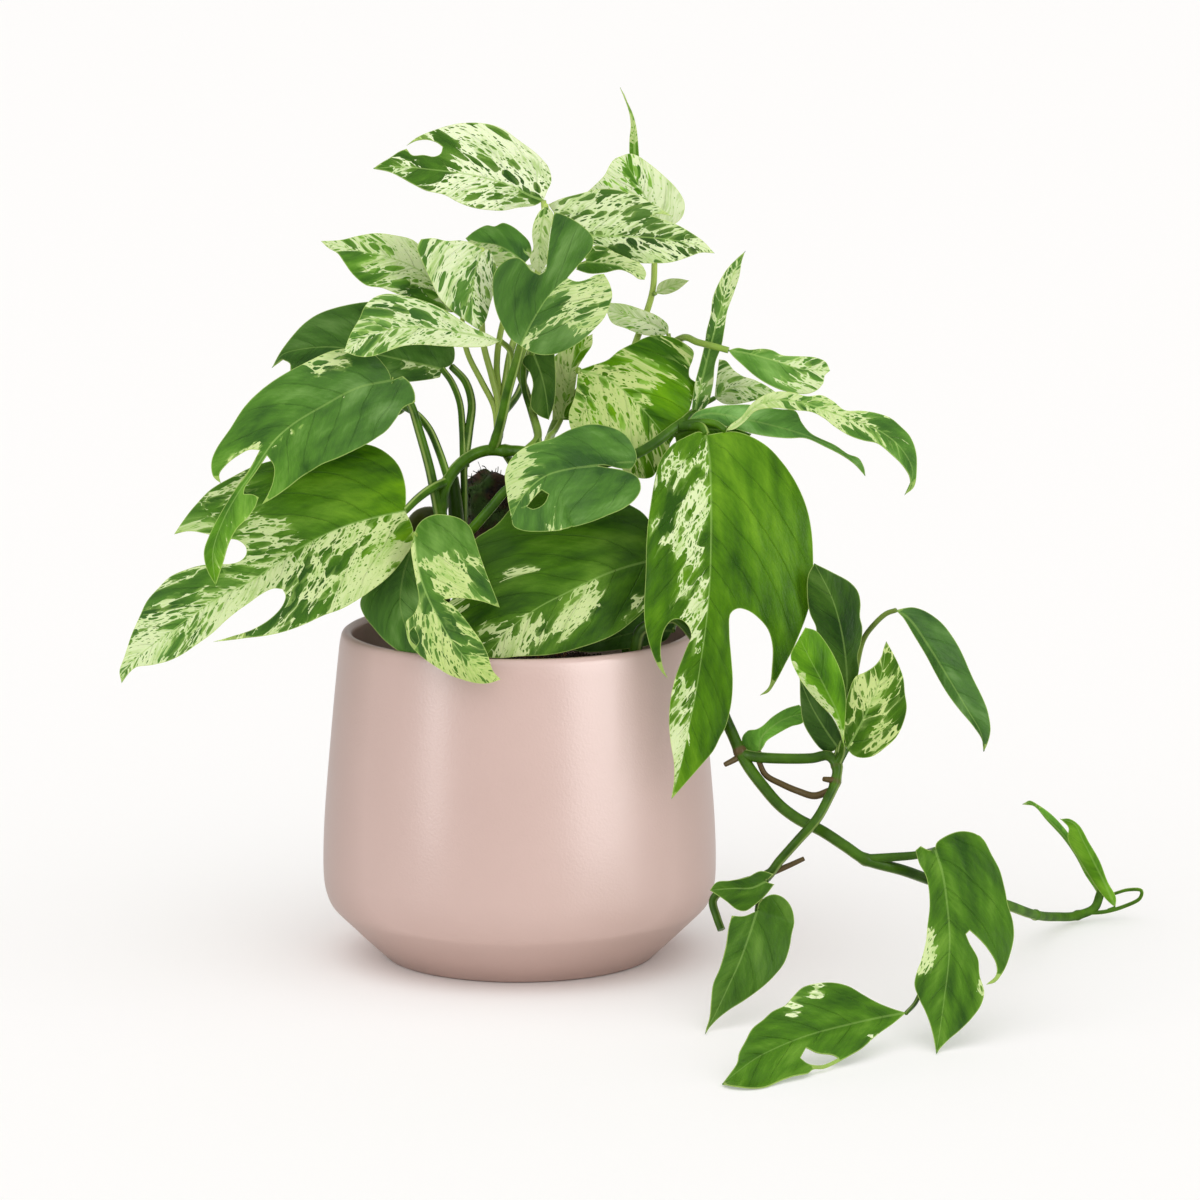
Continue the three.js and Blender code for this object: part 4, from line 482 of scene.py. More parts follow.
      (-140, 184, 8, 0.2)], 'fresh': (1, 0.1), 'warm': (0.6, 0), 'white': (0.25, 0.45)},
    'leaf_rim_left': {'rib': [[-46.5, 177, -44], [-50, 165, -46], [-51, 152, -49], [-47, 140, -50],
      [-38.4, 129.4, -54]],
      'halves': [{'form': [0.1, 0], 'margin': [[-51, 173], [-58, 166.5], [-66, 159], [-68.4, 154],
        [-67, 149], [-63, 143.6], [-57.5, 137.6], [-51, 133], [-44.5, 130.4]]},
        {'form': [0.1, 0], 'margin': [[-44, 171], [-41, 161], [-38.6, 150], [-37, 140]]}],
      'fresh': 0.2, 'bright': 1.05},
    'leaf_front_fold': {'rib': [[-45, 183, -57], [-44, 174, -61], [-42.6, 166, -65], [-39.4, 157, -70],
      [-34.5, 147, -77], [-28.5, 137, -83], [-20, 127.5, -88], [-8, 121, -91]],
      'halves': [{'form': [0.15, 0], 'margin': [[-44, 186.6], [-41, 190], [-36, 192], [-30, 191.6],
        [-25, 190], [-21, 186.5], [-18.8, 181], [-16.8, 174.5], [-14.6, 168], [-11.6, 160.5], [-8.3, 152],
        [-15, 154.6], [-22, 156], [-28, 156.2], [-32.4, 155.4], [-28, 152.4], [-24, 148], [-19.5, 142],
        [-16, 137], [-13.4, 131.5], [-11.4, 125]]},
        {'form': [0.2, 0], 'margin': [[-46.4, 178], [-45.6, 171], [-44.2, 163], [-43.2, 155], [-45.6, 149],
        [-48.6, 146.2], [-48.4, 141], [-46.6, 136], [-42.4, 131.4], [-38.4, 128.4], [-34.6, 125.8],
        [-30.6, 123.2], [-25, 121], [-19, 119.5], [-13.4, 119.4]], 'holes': [[[-45.4, 143.6], [-47.2, 141],
        [-46.2, 137.6], [-43.8, 135.4], [-42.8, 137.4], [-43.8, 141]]]}],
      'cream': [(0, 1), (0.6, 1)], 'patches': [(-27, 170, 9, 0.5), (-34, 184, 9, -0.4)], 'fresh': 0.4,
      'warm': 0.7, 'white': (0.3, 0.1)},
    'leaf_front_dark': {'rib': [[33, 213, -50], [22, 211.6, -53], [12, 208.8, -56], [4.6, 203.4, -59],
      [-0.4, 196.6, -61], [-3.3, 190.4, -63]],
      'halves': [{'form': [0.25, 0], 'margin': [[37, 213.2], [43, 211.8], [48.4, 211.3], [50.6, 216],
        [49, 222], [45, 227], [38, 230], [30, 230.7], [22, 228.5], [15, 225], [8, 223], [1, 220], [-4, 215],
        [-6, 209], [-5.5, 203], [-4.6, 196.6]]},
        {'form': [-0.3, 0], 'margin': [[38, 212.2], [46, 210.7], [51, 208], [52.3, 203], [50, 198.5],
        [45, 194.5], [38, 191.5], [30, 188.5], [20, 186], [10, 184.7], [2, 185], [-2.4, 187]],
        'holes': [[[12.6, 200.4], [9.6, 202.4], [6.6, 199.4], [3.4, 195.4], [6, 194.4], [10.6, 196.4]]]}],
      'cream': [(-0.1, 0.65), (-0.1, 0.3)], 'patches': [(0, 207, 7, 0.55), (7, 199, 6, 0.5)], 'fresh': 0.15,
      'warm': 0.1, 'white': 0.1, 'bright': 1.05},
    'leaf_front_low': {'rib': [[56, 172, -45], [46, 169.4, -47], [35, 165.4, -50], [21, 158.6, -54],
      [8, 151.8, -58], [-3, 143.6, -62], [-15, 130.6, -67]],
      'halves': [{'form': [0.45, 0], 'margin': [[59, 177], [58, 185], [54, 192], [45, 197.5], [30, 202],
        [14, 205.5], [3, 203], [-4, 194], [-10, 187], [-14, 184.5], [-19.4, 180.5], [-21, 171], [-24, 161],
        [-30.5, 153], [-29, 145], [-23, 136]]},
        {'form': [-0.2, 0], 'margin': [[60, 166], [58.4, 158], [54, 151], [48, 145.4], [42, 141], [36, 138],
        [28, 135.2], [20, 133], [10, 131.4], [0, 130.8], [-8, 130.2]]}],
      'cream': [(-0.1, 0.05), (0, 0.1)], 'patches': [(33, 157, 7, 0.55), (24, 151, 7, 0.5),
      (15, 146, 8, 0.5), (6, 141, 8, 0.45), (-5, 135, 8, 0.5), (51, 155, 6, 0.7), (-3, 167, 6, 0.45),
      (6, 168, 5, 0.35), (-25, 150, 7, 0.6), (22, 143, 6, 0.25), (-14, 142, 6, 0.4), (44, 149, 5, 0.5)],
      'fresh': 0.75, 'warm': 0.5, 'white': 0.3, 'bright': 0.8},
    'leaf_under_low': {'rib': [[66, 142, -20], [58, 141.8, -24], [47, 140.6, -30], [34, 137, -36],
      [18, 134, -40]],
      'halves': [{'form': [0.3, 0], 'margin': [[68, 147], [62, 150.4], [54, 150.4], [42, 146], [30, 140.6]]},
        {'form': [-0.1, 0], 'margin': [[63, 137.8], [57, 136], [50, 134.6], [41, 133.6], [30, 132.8]]}],
      'fresh': 0.2},
    'leaf_largest': {'rib': [[80.5, 226, -36], [82, 215, -46], [82.6, 200, -56], [82.6, 180, -65],
      [82, 162, -70], [80.6, 146, -73], [78.4, 130, -75], [76, 115, -77], [73, 100, -79], [69.6, 84, -81],
      [65.5, 69.5, -83]],
      'halves': [{'form': [-0.05, 0.006], 'margin': [[77.6, 227.6], [73, 226], [66, 222], [61, 215],
        [58, 205], [56, 193], [55, 180], [54.4, 168], [54, 155], [54.2, 145], [56, 136], [58.6, 129],
        [61.2, 124.4], [64, 121.4], [61.8, 126.5], [60.8, 132.5], [61.4, 139], [63.4, 144], [66.4, 146.8],
        [70, 146.6], [73, 143.6], [74, 139.4], [72.6, 136], [70.6, 131], [67.4, 122.5], [65.2, 113],
        [64.5, 103], [65.2, 94], [66.6, 85], [66.6, 77]]},
        {'form': [-0.05, 0.006], 'margin': [[86, 226.7], [93, 227], [100, 225], [107, 221], [113, 215],
        [118, 208], [122, 199], [125, 188], [126.5, 178], [126.5, 166], [125, 155], [122, 144], [118, 134],
        [114, 127], [110, 120], [107, 115.6], [103.5, 114.2], [107.2, 118], [108.6, 126], [109.2, 135],
        [107.4, 142], [103.4, 147], [98.4, 150.6], [94, 151.5], [91, 149.4], [90.5, 141], [91.2, 131],
        [91.8, 120], [91.2, 110], [89, 101], [86.5, 96.3], [83.5, 90.5], [79, 85], [72.6, 77.6]]}],
      'cream': [(0.28, 0.3), (-0.2, -0.2)], 'patches': [(60, 218, 7, -0.3), (68, 212, 8, 0.35),
      (72, 196, 9, 0.4), (62, 186, 8, 0.4), (76, 176, 8, 0.35), (76, 156, 8, 0.4), (56, 160, 6, -0.3),
      (57, 140, 9, -0.5), (76, 138, 6, 0.35), (71, 118, 8, 0.5), (69, 98, 8, 0.5), (67, 84, 6, 0.3)],
      'fresh': 0.9, 'warm': 0.25, 'white': (0.5, 0.45), 'bright': 0.97},
    'leaf_right_marbled': {'rib': [[25.5, 254, -10], [34, 252, -12], [42, 247.6, -14], [50, 240.6, -16],
      [57, 233, -18], [65, 222.6, -20]],
      'halves': [{'form': [0.3, 0], 'margin': [[31, 256], [38, 258.5], [43, 262.5], [50, 266], [55, 268.3],
        [60, 269], [66, 268], [71.5, 265.2], [75, 262], [74.6, 258.4], [73.2, 254.6], [73.4, 251], [76, 249],
        [75, 243], [73, 236], [69, 229]]},
        {'form': [-0.15, 0], 'margin': [[25, 250.5], [24.4, 245], [23.2, 240.5], [21.4, 235.5], [22.6, 228],
        [30, 220], [42, 213], [50, 208], [57, 208], [61, 214], [64, 219]]}],
      'cream': [(0.58, 0.62), (0.68, 0.68)], 'patches': [(66, 240, 10, -0.9), (52, 262, 10, -0.15)],
      'fresh': 1, 'warm': 0.8, 'white': 0.2, 'bright': 1.3},
    'leaf_centre_strip': {'rib': [[18, 232.6, 2], [20.6, 244, 2], [23, 256, 2], [31.6, 269.6, 2]],
      'halves': [{'form': [0.2, 0], 'margin': [[14.4, 232.6], [14.6, 242], [14.6, 252], [15, 259.6],
        [20, 263], [26, 267]]},
        {'form': [0.2, 0], 'margin': [[21.6, 232.6], [23.6, 243], [24.6, 250], [25.4, 255.4], [28.4, 260.4],
        [31.4, 265]]}],
      'cream': [(0.55, 0.6), (0.55, 0.6)], 'fresh': 1, 'warm': 0.9, 'bright': 1.2},
    'leaf_centre_dark': {'rib': [[6, 261.6, -15], [9.6, 252, -15], [11.6, 243, -15], [12.8, 232.6, -15]],
      'halves': [{'form': [0.1, 0], 'margin': [[2.4, 260], [1.4, 257], [4.6, 253], [6, 248], [5.2, 243],
        [5.2, 238], [8.4, 234.6]]},
        {'form': [0.1, 0], 'margin': [[10, 262], [15.2, 261.2], [15.8, 251], [15.2, 240]]}],
      'fresh': 0.5, 'bright': 0.55},
    'leaf_centre_heart': {'rib': [[0.6, 264.6, -30], [4, 272, -31], [8, 279, -32], [12, 285.2, -33],
      [16.6, 290.2, -34], [20.6, 293.6, -35]],
      'halves': [{'form': [0.1, 0.004], 'margin': [[-3, 267], [-7, 273], [-10, 280], [-11.5, 288],
        [-11, 295], [-8, 299.5], [-4, 302], [0, 302.3], [3, 300], [5.4, 297], [9, 295.2], [11.4, 297],
        [12.3, 304], [13.4, 313], [15, 322], [18, 321.4], [23, 319], [28, 315.5], [31.8, 311], [31.5, 306.5],
        [28.5, 302.5], [24.5, 298]]},
        {'form': [-0.2, 0], 'margin': [[4, 262.3], [8, 260.8], [12, 260.5], [17, 261.3], [22, 263.5],
        [28, 267.5], [33, 272.5], [36.5, 276.5], [38.5, 281], [40, 286], [39, 291], [36.5, 295.5], [33, 295],
        [29, 293], [24.6, 292.2]]}],
      'cream': [(-0.1, -0.15), (0.25, 0.5)], 'patches': [(18, 265, 9, -0.5), (31, 286, 9, 0.3)],
      'fresh': 0.15, 'warm': 0.4, 'bright': 0.9},
    'leaf_right_pale': {'rib': [[64.2, 269.6, 8], [58, 273.6, 8], [50, 276.6, 8], [37.4, 279.8, 8]],
      'halves': [{'form': [0.3, 0], 'margin': [[64, 273.4], [60, 277], [53, 280], [45, 282.5], [39, 283]]},
        {'form': [-0.2, 0], 'margin': [[59, 268.6], [52, 269.6], [46, 272], [40, 274.4]]}],
      'cream': [(0.9, 0.9), (0.9, 0.9)], 'fresh': 0.6, 'warm': 0.2, 'white': 0.6, 'bright': 1.6},
    'leaf_small_right': {'rib': [[58.8, 287, 10], [65, 290.2, 9], [73, 292.6, 8]],
      'halves': [{'form': [0.3, 0], 'margin': [[60, 291], [64, 293.2], [69, 293.4]]},
        {'form': [-0.2, 0], 'margin': [[63, 286.6], [68, 288.4]]}],
      'cream': [(1.2, 1.2), (1.2, 1.2)], 'fresh': 0.4, 'bright': 1.6},
    'leaf_right_wing': {'rib': [[90, 262.6, -26], [99, 261, -27], [110, 258, -29], [121, 254.6, -31],
      [133.6, 254, -34]],
      'halves': [{'form': [0.5, 0], 'margin': [[94, 263.6], [99, 262.8], [105, 263.2], [109, 262.6],
        [113, 260.6], [121, 260], [128, 259.2], [132, 257.4]]},
        {'form': [-0.5, 0], 'margin': [[92, 260], [96, 256.4], [100.6, 252.4], [106, 248.6], [112, 245.5],
        [118, 244], [124, 243.8], [128, 245.5], [130.8, 248.8], [131.4, 251.8]]}],
      'cream': [(0.22, 0.82), (-0.1, 0.47)], 'patches': [(129, 251, 6, 0.3)], 'fresh': 0.3, 'warm': 0.1,
      'white': 0.4, 'bright': 1.2},
    'leaf_upright_right': {'rib': [[75.6, 236, -15], [78, 247, -15], [81, 259, -15], [84.4, 272, -15],
      [88, 284, -15], [92, 295, -15], [97.3, 305.3, -15]],
      'halves': [{'form': [0.5, 0], 'margin': [[74.2, 237], [75.4, 247], [78, 257], [79.8, 265], [80.6, 271],
        [82.4, 278], [83.4, 285], [86, 291.4], [89.4, 297.4], [93.4, 301.8]]},
        {'form': [0.6, 0], 'margin': [[80, 238], [83, 247], [84.4, 257], [87, 264], [88.2, 272],
        [89.4, 279.6], [92.4, 287.4], [94.8, 294.6], [95.6, 300]]}],
      'cream': [(0.4, 0.55), (0.25, 0.5)], 'fresh': 0.3},
    'leaf_right_behind': {'rib': [[84, 242, -4], [92, 246.6, -4], [102, 246.4, -4], [110.7, 244.5, -4]],
      'halves': [{'form': [0.4, 0], 'margin': [[86, 258.6], [89, 258], [92.4, 254], [96, 251.6], [101, 250],
        [106, 247.5]]},
        {'form': [-0.2, 0], 'margin': [[88, 239.6], [93, 239.4], [99, 240.4], [104.6, 242]]}],
      'cream': [(0.7, 0.75), (0.7, 0.7)], 'fresh': 0.3, 'white': 0.5, 'bright': 1.15},
    'leaf_right_long': {'rib': [[73, 232.6, -22], [82, 235.4, -24], [95, 233.4, -27], [110, 230, -31],
      [123, 226.2, -35], [134, 221.4, -38], [141, 217.4, -40], [146, 213.6, -41], [149, 208.5, -42]],
      'halves': [{'form': [0.5, 0], 'margin': [[76, 236], [84, 238.3], [92, 239], [100, 239.2], [106, 238.2],
        [113, 237.2], [119, 236.2], [121.6, 231.4], [125.4, 227], [136, 221.8], [141.6, 218], [146, 216.2],
        [148.4, 212]]},
        {'form': [-0.3, 0], 'margin': [[77, 231.4], [85, 230.8], [94, 228.5], [101, 226.6], [108, 225.3],
        [116, 224.7], [123, 224.8], [132, 220.9], [139.6, 216.9], [144.4, 213.4]]}],
      # its cool green, made light, is a painted grey sheen over the whole leaf
      'fresh': 0, 'bright': 1.6},
    'leaf_right_curved': {'rib': [[89, 228, -37], [95, 231.6, -38], [101, 238, -39], [110, 241.2, -41],
      [122, 240, -44], [134, 236, -47], [146, 231.6, -50], [156, 227.4, -53], [164.6, 220, -57],
      [169.4, 210, -60], [165.8, 200.2, -62]],
      'halves': [{'form': [0.5, 0], 'margin': [[91, 230.6], [95.6, 234], [100, 239.6], [105, 243],
        [111, 244.7], [118, 244.2], [124, 242.8], [130, 243.4], [135, 240.8], [140, 236.8], [147, 236.4],
        [154, 235.4], [160, 233.4], [164.4, 229.8], [168, 226], [170.4, 220], [171, 213], [169.8, 204]]},
        {'form': [-0.5, 0], 'margin': [[92.6, 228.8], [97, 232], [101.6, 236.4], [110, 237.8], [118, 237],
        [126, 236], [131, 233.4], [136, 229.4], [142, 226], [148, 224], [154, 222.6], [160, 217.6],
        [165, 212.8], [168, 208], [168.2, 204]]}],
      'cream': [(1.3, -0.1), (1.3, 0)], 'fresh': 0.3, 'warm': 0.4, 'white': (0.3, 0.3), 'bright': 1.1},
    'leaf_behind_largest': {'rib': [[67, 226, -24], [76, 228.6, -23], [86, 228.4, -23], [100, 226.6, -23]],
      'halves': [{'form': [0.4, 0], 'margin': [[70, 229.4], [77, 231.2], [84, 230.4], [92, 229.2]]},
        {'form': [0.1, 0], 'margin': [[68, 220], [78, 216], [90, 218], [97, 223]]}],
      'cream': [(0.05, 0.05), (0.05, 0.05)], 'fresh': 0.8},
    # on the trailing vine
    'leaf_trail_tall': {'rib': [[140.2, 108, -78], [141, 122, -76], [139, 140, -73], [134.6, 156, -70],
      [127, 171, -68]],
      'halves': [{'form': [0.2, 0], 'margin': [[138, 116], [137, 124], [133.6, 131], [128.4, 139],
        [127.4, 144], [125, 149.5], [124, 158], [124.4, 166]]},
        {'form': [0.3, 0], 'margin': [[143, 117], [146, 124.5], [145.6, 131], [147.2, 137], [147.7, 143],
        [146.5, 148], [146.6, 154], [145.4, 159], [142, 163], [135, 167]]}],
      'fresh': 0.5, 'bright': 0.55},
    'leaf_trail_light': {'rib': [[139.5, 93, -90], [137.4, 105, -92], [131.4, 118, -94], [125, 130, -95],
      [120.6, 139, -95]],
      'halves': [{'form': [0.2, 0], 'margin': [[137.6, 99.6], [134.6, 105.4], [129.6, 110], [124.6, 116],
        [120, 123], [116.8, 131], [118.6, 135.6]]},
        {'form': [0.3, 0], 'margin': [[140.2, 102], [140.6, 112], [139, 121.5], [136, 130], [132, 137],
        [127.6, 142], [123, 143.4]]}],
      'patches': [(118.4, 128, 2.6, 1.3), (121.6, 122, 2.6, 1.3), (125.4, 116.8, 2.6, 1.3),
      (129.4, 111.6, 2.6, 1.3), (133, 107, 2.4, 1.3), (136, 102.4, 2.2, 1.3), (138, 98, 2, 1.3)],
      'fresh': 0.85, 'warm': 0.4, 'bright': 1.35},
    'leaf_trail_dark': {'rib': [[137.4, 91.4, -82], [132, 99, -80], [126, 109, -77], [120.6, 121.5, -74]],
      'halves': [{'form': [0.2, 0], 'margin': [[133, 89.6], [129.8, 91], [125.2, 97], [122.2, 103],
        [121, 111]]},
        {'form': [-0.15, 0], 'margin': [[139, 95], [137.4, 100], [134.6, 105], [129.6, 110.6],
        [124.6, 116.6]]}],
      'fresh': 0.3, 'bright': 0.5},
    'leaf_trail_marbled': {'rib': [[141, 91, -85], [146, 100, -86], [151.4, 111, -87], [156, 124, -88],
      [158, 137.4, -89]],
      'halves': [{'form': [-0.2, 0], 'margin': [[139.4, 98], [140, 107], [141.8, 116], [144.6, 122.4],
        [149, 124.4], [153, 127], [156, 131], [156.8, 134]]},
        {'form': [0.3, 0], 'margin': [[144, 88.2], [148, 87.1], [152.6, 88], [157.4, 91.6], [162, 96.4],
        [165, 102.6], [166.6, 109], [166, 115], [165.4, 121.5], [163, 128], [160.4, 133]]}],
      'cream': [(0.5, 0.45), (0.48, 0.45)], 'fresh': 0.8, 'warm': 1, 'bright': 0.8},
    'leaf_trail_curled': {'rib': [[103.4, 89.6, -70], [104, 95.6, -69], [109.4, 101.2, -68],
      [116, 104.8, -67], [124, 106.6, -66]],
      'halves': [{'form': [0.3, 0], 'margin': [[99.4, 90.2], [96.4, 92.4], [96, 96], [98.4, 99], [102, 99.6],
        [104.6, 101], [109, 105], [115, 108.6], [120.4, 110.2]]},
        {'form': [-0.3, 0], 'margin': [[105, 92], [106.6, 94.6], [111, 97.6], [117, 100.8], [122, 102.4]]}],
      'cream': [(0, 0), (0, 0)], 'fresh': 0.4, 'bright': 1.75},
    'leaf_trail_far': {'rib': [[162, 150.8, -72], [167.4, 147.4, -72], [176, 135.6, -73], [184.4, 122, -75],
      [192, 109.4, -77], [198.6, 98, -79], [200, 90, -80]],
      'halves': [{'form': [0.5, 0], 'margin': [[165, 151.6], [169.6, 152.1], [175, 150.4], [181, 146],
        [186, 139.4], [191, 131], [195.4, 121.6], [199.2, 113], [201.6, 106], [202.6, 99], [201.6, 94]]},
        {'form': [0.4, 0], 'margin': [[165.4, 147.2], [169.4, 140.8], [174.6, 132], [179, 123.6],
        [184, 115.4], [189.6, 107.8], [195, 101.2], [199, 95]]}],
      'fresh': 0, 'bright': 0.87},
    'leaf_ground_folded': {'rib': [[106, 34, -102], [100, 31.4, -104], [92, 31.2, -104], [82, 30.4, -102]],
      'halves': [{'form': [0.4, 0], 'margin': [[109.4, 37.4], [104, 38.6], [98, 36], [91, 34.6],
        [85, 33.9]]},
        {'form': [-0.4, 0], 'margin': [[109.8, 33], [106.4, 28.6], [102, 24.6], [97.4, 21.6], [93.6, 22.2],
        [88.6, 26]]}],
      'fresh': 0.7, 'bright': 0.7},
    'leaf_ground_heart': {'rib': [[102.4, 21.6, -104], [99, 11, -112], [95, 0, -120], [90, -11, -129],
      [85, -21.6, -137], [80, -31, -144]],
      'halves': [{'form': [-0.1, 0], 'margin': [[97, 19.4], [91.6, 19.6], [90, 14], [88.6, 5.6], [86.4, -3],
        [83.6, -10], [82.5, -18], [81.8, -25]]},
        {'form': [0.1, 0], 'margin': [[103, 24.6], [106.6, 27.8], [110.4, 28.5], [114.4, 26.6],
        [117.2, 22.8], [118.3, 17], [117, 11], [116, 5], [114, -1], [110, -6.2], [105, -11], [97, -17],
        [90, -21.4], [85, -25.4]]}],
      'fresh': 0.6, 'bright': 0.75},
    'leaf_ground_cut': {'rib': [[166.4, -22.5, -160], [155, -24.6, -168], [140, -28, -180], [125, -32, -192],
      [112, -37, -203], [102, -42, -212], [94, -47.8, -220], [87.3, -53, -226]],
      'halves': [{'form': [0.25, 0], 'margin': [[160, -20.6], [155, -18.5], [148, -14.5], [142, -11.2],
        [135, -9.7], [128, -10], [122, -11.6], [118, -15.5], [115, -19], [109, -22], [105, -25.5],
        [100, -29.5], [97, -35], [94.5, -40], [93.8, -44], [90.5, -49]]},
        {'form': [-1.1, 0], 'margin': [[161, -27], [156, -30.6], [152, -34], [147, -38.5], [140, -42.2],
        [135, -44.6], [131, -46.2], [126.6, -46.8], [124, -49], [118, -50.5], [112, -52], [105, -54],
        [98, -54.7], [91, -54.2]], 'holes': [[[123.4, -37.6], [128, -39.4], [135, -40.4], [137.4, -41.8],
        [133.6, -43.6], [130, -44.8], [124, -44.6], [120.8, -42.4]]]}],
      'cream': [(-0.05, 0), (-0.1, 0)], 'patches': [(127, -12, 5, 1.1), (117, -20, 5, 0.9),
      (152, -35, 6, 0.5), (134, -43, 6, 0.5)], 'fresh': 0.7, 'warm': 0.3, 'white': 0.7},
    'leaf_ground_lobed': {'rib': [[179, 47.6, -114], [182, 38, -119], [184, 25, -127], [185.2, 10, -137],
      [184.6, -2, -146], [183, -15, -157], [181.2, -28, -168], [179.4, -39.5, -177]],
      'halves': [{'form': [0.2, 0], 'margin': [[176, 47.6], [172.6, 49.3], [170.4, 47.4], [172, 42],
        [175, 36.6], [176.2, 31], [176.5, 24], [175.5, 15], [175, 8], [173, 0], [171, -5], [170, -10],
        [172, -16], [174.5, -21.4], [176.6, -27], [178.2, -33]]},
        {'form': [0.2, 0], 'margin': [[179.4, 50.6], [184, 54], [190, 55.8], [196, 54.8], [200, 51.5],
        [203, 46], [206.8, 39], [209, 31], [210.2, 24], [212, 17.4], [212.7, 11], [211.5, 4], [209.6, -2],
        [207, -6.6], [205, -8.8], [201, -10], [205.4, -5.6], [205.2, -1], [201, 5.6], [197, 9.8],
        [193.6, 12.8], [192, 11.2], [193.6, 7.4], [197.4, 1], [198.2, -6], [200, -13], [198.6, -19],
        [195, -24.4], [190, -29.5], [184.6, -34]]}],
      'cream': [(-0.1, -0.05), (-0.1, -0.1)], 'patches': [(176, 10, 4, 0.7), (175, 4, 4, 0.8),
      (172.6, -3, 5, 0.85), (200, -11, 4, 0.7)], 'fresh': 0.7, 'warm': 0.3, 'bright': 0.88},
    'leaf_young_long': {'rib': [[249.6, 27, 60], [247, 34, 61], [241, 42.6, 62], [235.4, 52.4, 63],
      [228, 60.4, 64], [222.4, 66, 65], [219, 68.2, 66], [216.4, 67.2, 67]],
      'halves': [{'form': [0.5, 0], 'margin': [[247.4, 31], [243.4, 37], [239.4, 44.6], [234, 52.6],
        [226.6, 60.6], [221.4, 66.4]]},
        {'form': [0.5, 0], 'margin': [[251.4, 31], [249.6, 35], [243, 44], [237.4, 53.4], [230, 62],
        [223.4, 67], [219.4, 69]]}],
      'cream': [(0.35, 0.35), (0.25, 0.25)], 'fresh': 0.5, 'bright': 2},
    'leaf_young_short': {'rib': [[256.4, 23, 59], [252, 33, 58], [247.6, 41.6, 57], [242.4, 52, 56],
      [238.6, 59, 55], [232.6, 61, 54]],
      'halves': [{'form': [0.5, 0], 'margin': [[254, 25], [250, 29.6], [246.4, 34.8], [241, 43.2],
        [236.8, 50.4], [236, 53.4], [236.2, 57.4]]},
        {'form': [0.5, 0], 'margin': [[256.6, 27.4], [253.2, 34], [249.6, 43], [245, 51], [240.8, 58.4],
        [236.6, 61.2]]}],
      'fresh': 0.8, 'bright': 1.4},
}

# Guessed leaves of the side that the photo doesn't show: plain hearts on a straight line from joint to tip.
farLeaves = {
    'leaf_far_low_right': {'joint': [38, 176, 30], 'tip': [26, 156, 98], 'width': 56, 'roll': 0.3,
      'cream': [(0.1, 0.3), (-0.1, 0)], 'fresh': 0.7},
    'leaf_far_low_left': {'joint': [-68, 192, 10], 'tip': [-97, 159, 40], 'width': 46, 'roll': -0.4,
      'cream': [(-0.1, 0.3), (0.2, 0)], 'fresh': 0.3},
    'leaf_far_middle': {'joint': [2, 200, 50], 'tip': [-22, 190, 112], 'width': 46, 'roll': -0.2,
      'fresh': 0.7, 'bright': 0.25},
    'leaf_far_high': {'joint': [2, 285, 30], 'tip': [-14, 296, 92], 'width': 44, 'roll': 0.2,
      'cream': [(0.8, 0.5), (0.6, 0.5)], 'fresh': 0.5, 'white': 0.5},
    'leaf_far_right': {'joint': [74, 196, 10], 'tip': [106, 176, 66], 'width': 52, 'roll': 0.4,
      'cream': [(0, 0.2), (0.35, 0.4)], 'fresh': 0.6},
    'leaf_far_left': {'joint': [-62, 236, 24], 'tip': [-96, 236, 80], 'width': 46, 'roll': -0.3,
      'cream': [(0.5, 0.6), (0.2, 0.4)], 'fresh': 0.4},
}
farShape = {'droop': 0.1, 'cup': 0.12, 'ribSteps': 60, 'firstSeed': 50,
            'heartHalf': [(-0.13, 0.16), (-0.15, 0.34), (-0.08, 0.72), (0.08, 0.95), (0.26, 1), (0.46, 0.86),
                          (0.66, 0.58), (0.82, 0.28), (0.93, 0.1)]}


# Fills one half of a blade, between the midrib and its margin, with even triangles.
def fillHalf(rib, margin, holes, grid, rowGap=0.87, borderGap=0.55):
    outline = np.vstack([rib, margin[1:-1][::-1]])
    loops = [outline] + holes
    border = np.vstack(loops)
    low, high = outline.min(0), outline.max(0)
    rows = np.arange(low[1], high[1] + grid, grid * rowGap)
    inner = np.array([(x + (grid / 2 if k % 2 else 0), y) for k, y in enumerate(rows)
                      for x in np.arange(low[0], high[0] + grid, grid)])
    inner = inner[insideOutline(inner, outline, holes)]
    if len(inner):
        inner = inner[gapTo(inner, border) > grid * borderGap]
    edges, start = [], 0
    for loop in loops:
        edges += [(start + i, start + (i + 1) % len(loop)) for i in range(len(loop))]
        start += len(loop)
    flat = np.vstack([border, inner]) if len(inner) else border
    found = delaunay_2d_cdt([Vector(p) for p in flat], edges, [], 0, 1e-5, True)
    points = np.array([tuple(v) for v in found[0]])
    origin = [ids[0] if ids else -1 for ids in found[3]]
    faces = np.array([f for f in found[2] if len(f) == 3])
    a, b, c = (points[faces[:, k]] for k in range(3))
    area = (b[:, 0] - a[:, 0]) * (c[:, 1] - a[:, 1]) - (b[:, 1] - a[:, 1]) * (c[:, 0] - a[:, 0])
    keep = insideOutline(points[faces].mean(1), outline, holes) & (np.abs(area) > 1e-4)
    faces = np.where((area > 0)[:, None], faces, faces[:, ::-1])[keep]
    return points, faces, origin, border


